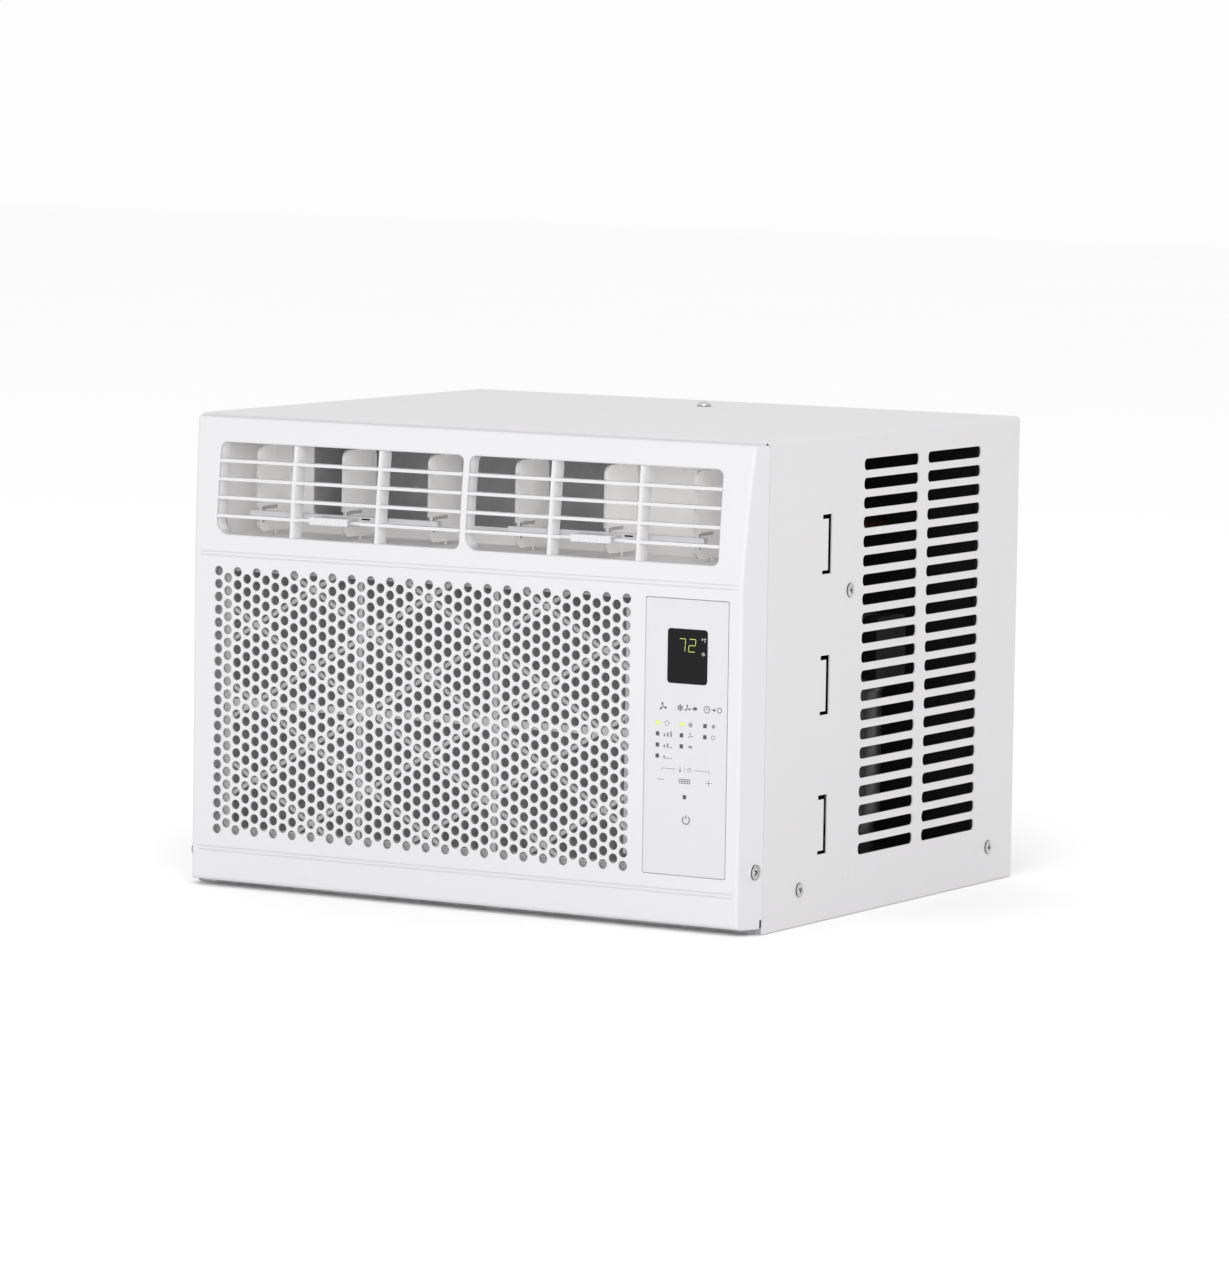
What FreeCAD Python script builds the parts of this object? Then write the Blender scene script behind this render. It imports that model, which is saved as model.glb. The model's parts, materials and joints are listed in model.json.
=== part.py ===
import FreeCAD, Part
import math
import os

# Window air conditioner. Millimetres. +Z up, -Y is the room side, +X is the user's right.
# The origin is on the ground plane, under the middle of the cabinet.

V = FreeCAD.Vector

# --- cabinet ---
WIDTH = 470.0
DEPTH = 400.0
HEIGHT = 342.0
HALF = WIDTH / 2
FRONT = -DEPTH / 2
REAR = DEPTH / 2
SHEET = 1.0
CASE_FRONT = FRONT + 19.4
CASE_FLOOR_GAP = 0.5

# --- front bezel ---
SEAM = FRONT + 19.0
BEZEL_BOTTOM = 4.5
BEZEL_TOP = 339.5
BEZEL_WALL = 2.5
BEZEL_DRAFT = {-1: 7.4, 1: 9.5}
BEZEL_ROUND = 3.2
CREASE_Z = 242.0
TOP_RECESS = 8.5
TOP_BOW = 0.95

# --- air discharge ---
WINDOW_X0 = 2.7
WINDOW_X1 = 207.5
WINDOW_Z0 = 256.0
WINDOW_Z1 = 322.0
WINDOW_R = 5.0
WINDOW_LOW_R = 10.0
WINDOW_SHIFT = -2.2
WINDOW_LIP = 1.6
DIVIDERS = (71.5, 143.3)
DIVIDER_T = 2.6
DIVIDER_DEPTH = 12.0
FIN_COUNT = 4
FIN_T = 2.2
FIN_DEPTH = 8.0
FIN_PITCH = (WINDOW_Z1 - WINDOW_Z0) / (FIN_COUNT + 1)
DUCT_HALF = 210.5
DUCT_Z0 = 255.5
DUCT_Z1 = 322.5
DUCT_Y0 = -180.5
DUCT_Y1 = -138.0
DUCT_WALL = 2.0

# --- swinging vanes and their link bars ---
VANE_PITCH = 72.4
VANE_SHIFT = -2.0
VANE_FRONT = -185.0
VANE_DEPTH = 43.0
VANE_AXIS_Y = VANE_FRONT + 22.0
VANE_T = 2.0
VANE_Z0 = 258.0
VANE_Z1 = 320.0
VANE_PIN_R = 1.5
LINK_Y = VANE_FRONT + 3.0
LINK_PIN_R = 1.2
LINK_HALF_Y = 2.5
LINK_Z0 = 267.0
LINK_Z1 = 273.3
TAB_Z = (266.9, 272.1)
LINK_OVERHANG = 7.0
TAB_WIDTH = 32.0
TAB_OFFSET = -3.0
TAB_TRAVEL = 10.5
PIN_FIT = 0.05

# --- perforated intake panel ---
HOLE_R = 3.45
HOLE_PITCH_Z = 9.357
HOLE_PITCH_X = HOLE_PITCH_Z * math.sqrt(3) / 2
HOLE_X0 = -206.6
HOLE_Z0 = 229.5
HOLE_COLUMNS = 43
HOLE_ROWS = 21
GRILLE_X = (-216.0, 143.0)
GRILLE_Z = (34.0, 237.5)

# --- control panel ---
PANEL_X = (149.3, 215.9)
PANEL_Z = (39.0, 232.3)
PANEL_DEEP = 1.2
PANEL_CHANNEL = 1.9
OVERLAY_T = 0.6
OVERLAY_X = (149.5, 215.1)
OVERLAY_Z = (39.4, 231.6)
LENS_X = (167.0, 198.9)
LENS_Z = (173.0, 211.2)
LED_SIZE = 2.8
LED_COLUMNS = ((160.0, 4), (179.1, 3), (197.7, 2))
LED_TOP_Z = 144.8
LED_PITCH = 7.7
FILTER_LED = (182.2, 94.2)
KEYS = {
    "fan_key": (164.0, 156.2),
    "mode_key": (183.1, 156.2),
    "timer_key": (202.4, 156.2),
    "temp_down_key": (163.0, 105.2),
    "temp_up_key": (201.2, 105.2),
    "filter_reset_key": (182.2, 105.2),
    "power_key": (183.7, 78.5),
}
KEY_R = 4.6
KEY_T = 0.5
KEY_STEM_R = 1.6
KEY_TRAVEL = 0.3
BOARD_Y = FRONT + 8.5
BOARD_T = 1.6
SWITCH_TOP = BOARD_Y - 3.6

# --- air filter, which slides out to the left ---
FILTER_Y0 = -188.0
FILTER_T = 4.0
FILTER_X = (-212.0, 139.0)
FILTER_Z = (38.0, 234.0)
FILTER_BAR = 5.0
FILTER_LEFT_BAR = 9.5
FILTER_UPRIGHT = 5.8
FILTER_LEVEL = 5.4
FILTER_LEVEL_Z = 133.7
FILTER_RIB = 2.8
STRIP_WINDOW = 14.0
FILTER_GAP = 0.5
RIB_STEP = 12 * HOLE_PITCH_X
RIB_SLOPE = HOLE_PITCH_Z / 2 / HOLE_PITCH_X
FALLING_RIB_X = -159.8
RISING_RIB_X = -107.4

# --- heat exchangers ---
EVAP_X = (-212.0, 128.0)
EVAP_Y = (-177.5, -143.0)
EVAP_Z = (34.0, 244.0)
COND_X = (-212.0, 204.0)
COND_Y = (154.0, 188.0)
COND_Z = (14.0, 328.0)
COIL_PITCH = 25.4
COIL_TUBE_R = 3.5
END_PLATE_T = 1.2
TRAY_HALF = 224.0
TRAY_Y = (-179.0, -60.5)
TRAY_Z = (5.0, 29.0)
TRAY_WALL = 5.0
GUARD_HALF = 218.0
GUARD_Z = (16.0, 328.0)
GUARD_LEVELS = 8
GUARD_UPRIGHTS = 23
WIRE_R = 1.1

# --- fan assembly, on one axis along Y ---
FAN_X = -40.0
FAN_Z = 152.0
BLOWER_R = 92.0
BLOWER_HOLE_R = 74.0
BLOWER_Y = (-129.0, -67.0)
BLOWER_BLADES = 36
SCROLL_Y = (-134.0, -60.0)
SCROLL_X = (-178.0, 112.0)
SCROLL_Z = (30.0, 326.0)
SCROLL_START_R = 99.0
SCROLL_START_ANGLE = 28.0
SCROLL_END_ANGLE = -180.0
SCROLL_STEPS = 14
INLET_RING_Y = (-137.5, -134.5)
INLET_RADII = (82.0, 74.0)
SHAFT_HOLE_R = 9.0
SCROLL_END_R = 126.0
OUTLET_X = (-166.0, 87.0)
PARTITION_Y = (-58.0, -57.0)
MOTOR_R = 46.0
MOTOR_Y = (-50.0, 26.0)
SHAFT_R = 4.0
SHAFT_Y = (-126.0, 132.0)
RUNNING_FIT = 0.05
COND_FAN_R = 122.0
COND_FAN_Y = (100.0, 134.0)
COND_BLADES = 5
SLINGER_T = 2.5
SHROUD_Y = (116.0, 142.0)
SHROUD_R = 129.0

# --- refrigeration circuit ---
COMP_X = 150.0
COMP_Y = 30.0
COMP_R = 56.0
COMP_Z = (32.0, 222.0)
COMP_DOME_H = 30.0
COMP_FOOT_R = 66.0
STUD_R = 3.0
ACCUMULATOR = (68.0, 12.0)
DRIER = (-190.0, 90.0)
PIPE_R = 4.0
PIPE_BEND = 9.0
SUCTION_X = 219.5
SUCTION_Y = -46.0
DISCHARGE_Y = 147.6
DISCHARGE_Z = 262.0

# --- mains lead bush in the bottom wall, and the relief slit beside the case ---
GLAND_R = 2.6
GLAND_X = 222.5
GLAND_Y = -187.5
GLAND_HALF = 4.0
GLAND_H = 9.0
RELIEF_W = 3.9
RELIEF_H = 9.2

# --- base pan ---
PAN_T = 1.2
PAN_HALF = HALF - SHEET - 0.4
PAN_Y = (-178.0, 197.0)
PAN_RIM = 16.0
PAN_BACK_RIM = 12.0
PAN_FRONT_RIM = 4.3
SWAGE_X = 200.0
SWAGE_Y = (-150.0, -105.0, 60.0, 125.0)
SWAGE_W = 14.0
SWAGE_H = 4.0

# --- outer case openings ---
SLOT_ROWS = 21
SLOT_PITCH = 13.68
SLOT_TOP_Z = 319.1
SLOT_H = 8.3
SLOT_LEN = 82.5
SLOT_CENTRES_Y = (-1.5, 95.0)
SLOT_R = 3.4
TAB_CUT_Y = (-102.8, -89.4)
TAB_CUT_TOPS = (287.3, 188.1, 89.7)
TAB_CUT_H = 41.9
TAB_SLIT = 5.2
TAB_TOP_SLIT = 3.2
TAB_LOW_SLIT = 2.6
CASE_BEND = 3.0
CASE_HEM = 6.0
SIDE_SCREW_R = 5.0
BEZEL_SCREW_R = 5.2
SCREW_SLOT = (5.2, 1.1)
SIDE_SCREWS = ((-128.3, 25.9), (-61.3, 231.6), (159.6, 26.0))
BEZEL_SCREW_Y = -187.0
BEZEL_SCREW_Z = {-1: 24.2, 1: 44.2}
TOP_SCREW_Y = 135.5


def box(x0, x1, y0, y1, z0, z1):
    """Plain box between two corners."""
    return Part.makeBox(x1 - x0, y1 - y0, z1 - z0, V(x0, y0, z0))


def rod(start, direction, radius, length):
    """Solid cylinder from a point along a direction."""
    return Part.makeCylinder(radius, length, V(*start), V(*direction))


def ring(start, direction, outer, inner, length):
    """Cylinder with a through hole."""
    return rod(start, direction, outer, length).cut(rod(start, direction, inner, length))


def fuse(shapes):
    """One clean solid from several overlapping ones."""
    first, *rest = shapes
    return first.multiFuse(rest).removeSplitter() if rest else first


def prism(points, direction):
    """Straight extrusion of a closed polygon."""
    wire = Part.makePolygon([V(*p) for p in points] + [V(*points[0])])
    return Part.Face(wire).extrude(V(*direction))


def rounded_outline(a0, a1, b0, b1, radius, place, first=None):
    """Closed rounded rectangle; place turns (a, b) into a point, first is the radius of the low corner."""
    first = first or radius
    s = radius * (1 - math.sqrt(0.5))
    f = first * (1 - math.sqrt(0.5))
    corners = (
        ((a1 - radius, b0), (a1 - s, b0 + s), (a1, b0 + radius)),
        ((a1, b1 - radius), (a1 - s, b1 - s), (a1 - radius, b1)),
        ((a0 + radius, b1), (a0 + s, b1 - s), (a0, b1 - radius)),
        ((a0, b0 + first), (a0 + f, b0 + f), (a0 + first, b0)),
    )
    edges = []
    for i, corner in enumerate(corners):
        following = corners[(i + 1) % 4]
        edges.append(Part.Arc(*[place(*p) for p in corner]).toShape())
        edges.append(Part.LineSegment(place(*corner[2]), place(*following[0])).toShape())
    return Part.Wire(edges)


def rounded_block_y(x0, x1, z0, z1, radius, y0, y1, first=None):
    """Block along Y with its four long edges rounded; first is the radius at the low left corner."""
    wire = rounded_outline(x0, x1, z0, z1, radius, lambda a, b: V(a, y0, b), first)
    return Part.Face(wire).extrude(V(0, y1 - y0, 0))


def rounded_block_x(y0, y1, z0, z1, radius, x0, x1):
    """Block along X with its four long edges rounded."""
    wire = rounded_outline(y0, y1, z0, z1, radius, lambda a, b: V(x0, a, b))
    return Part.Face(wire).extrude(V(x1 - x0, 0, 0))


def pipe(points, radius, bend):
    """Round bar along straight runs joined by tangent arcs of one bend radius."""
    pts = [V(*p) for p in points]
    edges = []
    start = pts[0]
    for before, corner, after in zip(pts, pts[1:], pts[2:]):
        inward = (before - corner).normalize()
        outward = (after - corner).normalize()
        turn = math.pi - inward.getAngle(outward)
        reach = bend * math.tan(turn / 2)
        middle = (inward + outward).normalize()
        first = corner + inward * reach
        last = corner + outward * reach
        depth = bend / math.cos(turn / 2) - bend
        edges.append(Part.LineSegment(start, first).toShape())
        edges.append(Part.Arc(first, corner + middle * depth, last).toShape())
        start = last
    edges.append(Part.LineSegment(start, pts[-1]).toShape())
    path = Part.Wire(edges)
    circle = Part.Wire(Part.makeCircle(radius, pts[0], pts[1] - pts[0]))
    return path.makePipeShell([circle], True, False)


def bezel_form(inset, back):
    """Outer form of the front bezel shrunk by inset: upright face, bowed upper part, drafted sides."""
    y0 = FRONT + inset
    z0 = BEZEL_BOTTOM + inset
    z1 = BEZEL_TOP - inset
    y1 = y0 + TOP_RECESS
    middle = V(-HALF, (y0 + y1) / 2 - TOP_BOW, (CREASE_Z + z1) / 2)
    side = Part.Wire([
        Part.LineSegment(V(-HALF, back, z0), V(-HALF, y0, z0)).toShape(),
        Part.LineSegment(V(-HALF, y0, z0), V(-HALF, y0, CREASE_Z)).toShape(),
        Part.Arc(V(-HALF, y0, CREASE_Z), middle, V(-HALF, y1, z1)).toShape(),
        Part.LineSegment(V(-HALF, y1, z1), V(-HALF, back, z1)).toShape(),
        Part.LineSegment(V(-HALF, back, z1), V(-HALF, back, z0)).toShape(),
    ])
    body = Part.Face(side).extrude(V(WIDTH, 0, 0))
    wide = HALF - inset
    left, right = -wide + BEZEL_DRAFT[-1], wide - BEZEL_DRAFT[1]
    plan = prism([(-wide, SEAM, 0), (left, FRONT, 0), (right, FRONT, 0), (wide, SEAM, 0),
                  (wide, max(back, SEAM + 0.01), 0), (-wide, max(back, SEAM + 0.01), 0)], (0, 0, HEIGHT))
    return body.common(plan)


def front_edges(form):
    """The front upright edges and the front top edge of the bezel form."""
    chosen = []
    for edge in form.Edges:
        c = edge.CenterOfMass
        upright = abs(c.x) > HALF - 14 and edge.BoundBox.ZLength > 40 and c.y < FRONT + 12
        across = edge.BoundBox.XLength > WIDTH / 2 and c.y < FRONT + 12 and abs(c.z - CREASE_Z) > 40
        if upright or across:
            chosen.append(edge)
    return chosen


def window_blocks(grow, y0, y1):
    """The two discharge windows as blocks, widened by grow."""
    blocks = []
    for side in (-1, 1):
        x0, x1 = window_span(side)
        blocks.append(rounded_block_y(x0 - grow, x1 + grow, WINDOW_Z0 - grow, WINDOW_Z1 + grow,
                                      WINDOW_R + grow, y0, y1, WINDOW_LOW_R + grow))
    return blocks


def window_span(side):
    """Left and right limits of the discharge window on one side."""
    x0, x1 = sorted((side * WINDOW_X0, side * WINDOW_X1))
    return x0 + WINDOW_SHIFT, x1 + WINDOW_SHIFT


def window_rims(shell):
    """The front edges of the discharge windows."""
    rims = []
    for edge in shell.Edges:
        b = edge.BoundBox
        up = max(0.0, (b.Center.z - CREASE_Z) / (BEZEL_TOP - CREASE_Z))
        face_y = FRONT + TOP_RECESS * up + BEZEL_WALL * 0.5
        beside = abs(b.Center.x - WINDOW_SHIFT) < WINDOW_X1 + 1
        inside = beside and b.ZMin > WINDOW_Z0 - 1 and b.ZMax < WINDOW_Z1 + 1
        along_face = b.XLength > 0.1 or b.ZLength > 0.1
        if inside and along_face and b.Center.y < face_y:
            rims.append(edge)
    return rims


def led_centres():
    """Centres of the indicator lamps: one column under each function, and the filter lamp."""
    spots = [(x, LED_TOP_Z - i * LED_PITCH) for x, count in LED_COLUMNS for i in range(count)]
    return spots + [FILTER_LED]


def face_pocket(x0, x1, z0, z1, depth, radius):
    """Shallow pocket cut into the flat part of the bezel face."""
    return rounded_block_y(x0, x1, z0, z1, radius, FRONT - 1, FRONT + depth)


def front_bezel():
    """Moulded frame that carries the grilles and the control panel."""
    outer = bezel_form(0, SEAM)
    outer = outer.makeFillet(BEZEL_ROUND, front_edges(outer))
    shell = outer.cut(bezel_form(BEZEL_WALL, SEAM + 5))
    shell = shell.cut(Part.makeCompound(window_blocks(0, FRONT - 1, FRONT + 14)))
    shell = shell.makeFillet(WINDOW_LIP, window_rims(shell))
    cuts = []
    cuts.append(box(*GRILLE_X, FRONT - 1, FRONT + BEZEL_WALL + 1, *GRILLE_Z))
    cuts.append(face_pocket(*PANEL_X, *PANEL_Z, PANEL_DEEP, 1.5))
    channel = face_pocket(*PANEL_X, *PANEL_Z, PANEL_CHANNEL, 1.5)
    cuts.append(channel.cut(face_pocket(*OVERLAY_X, *OVERLAY_Z, PANEL_CHANNEL + 1, 1.3)))
    cuts.append(rounded_block_y(*LENS_X, *LENS_Z, 2.5, FRONT - 1, FRONT + BEZEL_WALL + 1))
    half = LED_SIZE / 2 + 0.1
    for x, z in led_centres():
        cuts.append(box(x - half, x + half, FRONT, FRONT + 4, z - half, z + half))
    for x, z in KEYS.values():
        cuts.append(rod((x, FRONT, z), (0, 1, 0), KEY_R + 0.3, PANEL_DEEP + KEY_T + KEY_TRAVEL + 0.1))
        cuts.append(rod((x, FRONT, z), (0, 1, 0), KEY_STEM_R + RUNNING_FIT, 6))
    for z in (CREASE_Z + 1.4, CREASE_Z - 1.4, 29.2, 26.6):
        cuts.append(box(-221.5, 221.5, FRONT - 1, FRONT + 0.5, z - 0.5, z + 0.5))
    slot_y0 = FILTER_Y0 - FILTER_GAP
    slot_y1 = FILTER_Y0 + FILTER_T + FILTER_GAP
    cuts.append(box(-HALF - 1, -HALF + 10, slot_y0, slot_y1, FILTER_Z[0] - 1, FILTER_Z[1] + 1))
    cuts.append(box(HALF - 4, HALF + 1, SEAM - RELIEF_W, SEAM + 1, BEZEL_BOTTOM - 1, BEZEL_BOTTOM + RELIEF_H))
    gland_gap = GLAND_HALF + 0.2
    cuts.append(box(GLAND_X - gland_gap, GLAND_X + gland_gap, GLAND_Y - gland_gap, GLAND_Y + gland_gap,
                    BEZEL_BOTTOM - 1, BEZEL_BOTTOM + BEZEL_WALL + 1))
    for side in (-1, 1):
        y, z = BEZEL_SCREW_Y, BEZEL_SCREW_Z[side]
        cuts.append(rod((side * (HALF - 8), y, z), (side, 0, 0), 1.9, 10))
        cuts.append(rod((side * bezel_screw_seat(side), y, z), (side, 0, 0), BEZEL_SCREW_R + 0.3, 5))
    return fuse([shell] + screw_bosses()).cut(Part.makeCompound(cuts))


def bezel_screw_seat(side):
    """Distance from the middle to the flat seat of the bezel's side screw."""
    return HALF - BEZEL_DRAFT[side] * (SEAM - BEZEL_SCREW_Y) / (SEAM - FRONT) - 0.2


def screw_bosses():
    """Round pads on the tapered sides of the bezel that give the side screws a flat seat."""
    return [rod((side * (bezel_screw_seat(side) - 4.2), BEZEL_SCREW_Y, BEZEL_SCREW_Z[side]), (side, 0, 0),
                BEZEL_SCREW_R + 0.3, 4.2)
            for side in (-1, 1)]


def intake_grille():
    """Flat panel with a regular staggered field of round holes."""
    wires = [Part.makePolygon([V(GRILLE_X[0], FRONT, GRILLE_Z[0]), V(GRILLE_X[1], FRONT, GRILLE_Z[0]),
                               V(GRILLE_X[1], FRONT, GRILLE_Z[1]), V(GRILLE_X[0], FRONT, GRILLE_Z[1]),
                               V(GRILLE_X[0], FRONT, GRILLE_Z[0])])]
    for column in range(HOLE_COLUMNS):
        odd = column % 2
        for row in range(HOLE_ROWS - odd):
            centre = V(HOLE_X0 + column * HOLE_PITCH_X, FRONT, HOLE_Z0 - (row + odd / 2) * HOLE_PITCH_Z)
            wires.append(Part.Wire(Part.makeCircle(HOLE_R, centre, V(0, 1, 0))))
    face = Part.makeFace(wires, "Part::FaceMakerBullseye")
    return face.extrude(V(0, BEZEL_WALL, 0))


def discharge_grille():
    """Two inset grids of level fins and upright dividers behind the discharge windows."""
    skin = bezel_form(0.4, SEAM)
    deep_skin = skin.cut(bezel_form(DIVIDER_DEPTH, SEAM + 5))
    fin_skin = skin.cut(bezel_form(FIN_DEPTH, SEAM + 5))
    rim_skin = bezel_form(BEZEL_WALL, SEAM).cut(bezel_form(DIVIDER_DEPTH, SEAM + 5))
    grids = []
    for side, window in zip((-1, 1), window_blocks(0, FRONT - 1, SEAM)):
        collar = window_blocks(2.4, FRONT - 1, SEAM)[0 if side < 0 else 1].cut(window).common(rim_skin)
        half = DIVIDER_T / 2
        dividers = []
        for d in DIVIDERS:
            x = side * d + WINDOW_SHIFT
            dividers.append(box(x - half, x + half, FRONT, SEAM, WINDOW_Z0 - 2, WINDOW_Z1 + 2))
        fins = []
        for i in range(FIN_COUNT):
            z = WINDOW_Z0 + (i + 1) * FIN_PITCH
            left, right = window_span(side)
            fin = box(left - 2, right + 2, FRONT, SEAM, z - FIN_T / 2, z + FIN_T / 2)
            if i == 0:
                x = tab_centre(side)
                reach = TAB_WIDTH / 2 + TAB_TRAVEL
                fin = fin.cut(box(x - reach, x + reach, FRONT - 1, FRONT + 6.6, z - 2, z + 2))
            fins.append(fin)
        reach_in = window_blocks(1.2, FRONT - 1, SEAM)[0 if side < 0 else 1]
        front_part = [d.common(deep_skin).common(reach_in) for d in dividers]
        front_part += [f.common(fin_skin).common(reach_in) for f in fins]
        bezel_skin = bezel_form(0, SEAM).cut(bezel_form(BEZEL_WALL, SEAM + 5)).cut(window)
        clipped = [p.cut(bezel_skin) for p in front_part]
        grids.append(fuse([collar] + clipped))
    return Part.makeCompound(grids)


def vane_x(side, index):
    """Position across the width of each swinging vane; index runs from left to right."""
    place = index if side > 0 else index - 3
    return VANE_SHIFT + (place + 0.5) * VANE_PITCH


def tab_centre(side):
    """Centre of the link bar's finger tab."""
    return vane_x(side, 1) + TAB_OFFSET


def air_duct():
    """Straight outlet duct that carries the vane pivots, with the blower outlet in its back wall."""
    outer = box(-DUCT_HALF - DUCT_WALL, DUCT_HALF + DUCT_WALL, VANE_FRONT + 1, DUCT_Y1 + DUCT_WALL,
                DUCT_Z0 - DUCT_WALL, DUCT_Z1 + DUCT_WALL)
    inner = box(-DUCT_HALF, DUCT_HALF, FRONT, DUCT_Y1, DUCT_Z0, DUCT_Z1)
    outlet = rounded_block_y(*OUTLET_X, DUCT_Z0 + 12, DUCT_Z1 - 1.5, 4, DUCT_Y1 - 1, DUCT_Y1 + DUCT_WALL + 1)
    front_zone = bezel_form(0, SEAM).cut(bezel_form(DIVIDER_DEPTH + 0.2, SEAM + 5))
    duct = outer.cut(inner).cut(outlet).cut(front_zone)
    holes = []
    for side in (-1, 1):
        for index in range(3):
            holes.append(rod((vane_x(side, index), VANE_AXIS_Y, DUCT_Z0 - 5), (0, 0, 1), VANE_PIN_R + PIN_FIT,
                             DUCT_Z1 - DUCT_Z0 + 10))
    return duct.cut(Part.makeCompound(holes))


def vane(x):
    """Upright swinging vane with rounded corners, pivot pins and a notch for the link bar."""
    blade = rounded_block_x(VANE_FRONT, VANE_FRONT + VANE_DEPTH, VANE_Z0, VANE_Z1, 7,
                            x - VANE_T / 2, x + VANE_T / 2)
    notch = box(x - 5, x + 5, VANE_FRONT - 1, LINK_Y + 4.2, LINK_Z0 - 2, LINK_Z1 + 2.5)
    pin_low = rod((x, VANE_AXIS_Y, DUCT_Z0 - DUCT_WALL + 0.3), (0, 0, 1), VANE_PIN_R,
                  VANE_Z0 - DUCT_Z0 + DUCT_WALL + 3)
    pin_high = rod((x, VANE_AXIS_Y, VANE_Z1 - 3), (0, 0, 1), VANE_PIN_R, DUCT_Z1 - VANE_Z1 + DUCT_WALL + 2.7)
    hook = rod((x, LINK_Y, LINK_Z0 - 4), (0, 0, 1), LINK_PIN_R, LINK_Z1 - LINK_Z0 + 8.5)
    return fuse([blade.cut(notch), pin_low, pin_high, hook])


def link_bar(side):
    """Bar that ties three vanes together, with a finger tab that reaches out over the lowest fin."""
    xs = [vane_x(side, i) for i in range(3)]
    bar = box(xs[0] - LINK_OVERHANG, xs[2] + LINK_OVERHANG, LINK_Y - LINK_HALF_Y, LINK_Y + LINK_HALF_Y,
              LINK_Z0, LINK_Z1)
    x = tab_centre(side)
    fin_top = WINDOW_Z0 + FIN_PITCH + FIN_T / 2
    arm = box(x - TAB_WIDTH / 2, x + TAB_WIDTH / 2, FRONT + 1.5, LINK_Y - 1, fin_top + 0.4, TAB_Z[1])
    lip = box(x - TAB_WIDTH / 2, x + TAB_WIDTH / 2, FRONT + 0.4, FRONT + 2.8, *TAB_Z)
    holes = [rod((v, LINK_Y, LINK_Z0 - 1), (0, 0, 1), LINK_PIN_R + PIN_FIT, LINK_Z1 - LINK_Z0 + 3)
             for v in xs]
    return fuse([bar, arm, lip]).cut(Part.makeCompound(holes))


def control_overlay():
    """Printed film over the keys, with a window for the display and small ones for the lamps."""
    y0 = FRONT + PANEL_DEEP - OVERLAY_T - 0.1
    film = rounded_block_y(*OVERLAY_X, *OVERLAY_Z, 1.3, y0, y0 + OVERLAY_T)
    cuts = [rounded_block_y(*LENS_X, *LENS_Z, 2.5, y0 - 1, y0 + 2)]
    half = LED_SIZE / 2 + 0.05
    for x, z in led_centres():
        cuts.append(box(x - half, x + half, y0 - 1, y0 + 2, z - half, z + half))
    return film.cut(Part.makeCompound(cuts))


def display_lens():
    """Dark window in front of the digits, with a stepped edge behind."""
    face = rounded_block_y(LENS_X[0] + 0.15, LENS_X[1] - 0.15, LENS_Z[0] + 0.15, LENS_Z[1] - 0.15, 2.4,
                           FRONT + 0.3, FRONT + BEZEL_WALL)
    flange = rounded_block_y(LENS_X[0] - 1.5, LENS_X[1] + 1.5, LENS_Z[0] - 1.5, LENS_Z[1] + 1.5, 3,
                             FRONT + BEZEL_WALL, FRONT + BEZEL_WALL + 1)
    return fuse([face, flange])


def indicator_leds():
    """Small square light guides that end flush with the film."""
    half = LED_SIZE / 2
    return Part.makeCompound([box(x - half, x + half, FRONT + 0.5, BOARD_Y - 0.05, z - half, z + half)
                              for x, z in led_centres()])


def display_board():
    """Circuit board behind the control panel with the digit module on it."""
    board = box(PANEL_X[0] + 1.5, PANEL_X[1] - 1.5, BOARD_Y, BOARD_Y + BOARD_T,
                PANEL_Z[0] + 12, PANEL_Z[1] - 6)
    digits = box(LENS_X[0] + 2, LENS_X[1] - 2, FRONT + BEZEL_WALL + 1.4, BOARD_Y,
                 LENS_Z[0] + 4, LENS_Z[1] - 2)
    return fuse([board, digits])


def tact_switches():
    """One small push switch on the board behind each key."""
    return Part.makeCompound([box(x - 3, x + 3, SWITCH_TOP, BOARD_Y - 0.05, z - 3, z + 3)
                              for x, z in KEYS.values()])


def key_plunger(x, z):
    """Disc under the film with a stem that reaches back to its switch."""
    y0 = FRONT + PANEL_DEEP
    disc = rod((x, y0, z), (0, 1, 0), KEY_R, KEY_T)
    stem = rod((x, y0, z), (0, 1, 0), KEY_STEM_R, SWITCH_TOP - KEY_TRAVEL - 0.1 - y0)
    return fuse([disc, stem])


def filter_guides():
    """Two channels behind the intake panel that the filter slides in."""
    x0 = -HALF + 8.5
    x1 = GRILLE_X[1]
    y0 = FILTER_Y0 - FILTER_GAP - 1.5
    y1 = FILTER_Y0 + FILTER_T + FILTER_GAP + 1.2
    channels = []
    for edge, sign in ((FILTER_Z[0], -1), (FILTER_Z[1], 1)):
        low, high = sorted((edge + sign * FILTER_GAP, edge + sign * (FILTER_GAP + 1.5)))
        web = box(x0, x1, y0, y1, low, high)
        lip_low, lip_high = sorted((edge - sign * 3.5, edge + sign * (FILTER_GAP + 0.5)))
        lips = [box(x0, x1, y0, y0 + 1.5, lip_low, lip_high), box(x0, x1, y1 - 1.2, y1, lip_low, lip_high)]
        channels.append(fuse([web] + lips))
    return Part.makeCompound(channels)


def slanting_ribs(outline, x_at_top, lean):
    """Parallel ribs at 30 degrees across the filter; lean is 1 when they fall to the right, else -1."""
    z0, z1 = FILTER_Z
    y0 = FILTER_Y0 + 0.4
    half = FILTER_RIB / 2 * math.hypot(1, RIB_SLOPE)
    run = lean * (z1 - z0) / RIB_SLOPE
    ribs = []
    reach = int(abs(run) / RIB_STEP) + 4
    for i in range(-reach, reach + 1):
        top = x_at_top + i * RIB_STEP
        foot = top + run
        corners = [(top, y0, z1 - half), (foot, y0, z0 - half), (foot, y0, z0 + half), (top, y0, z1 + half)]
        rib = prism(corners, (0, FILTER_Y0 + FILTER_T - 1 - y0, 0)).common(outline)
        if rib.Volume > 1:
            ribs.append(rib)
    return ribs


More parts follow.
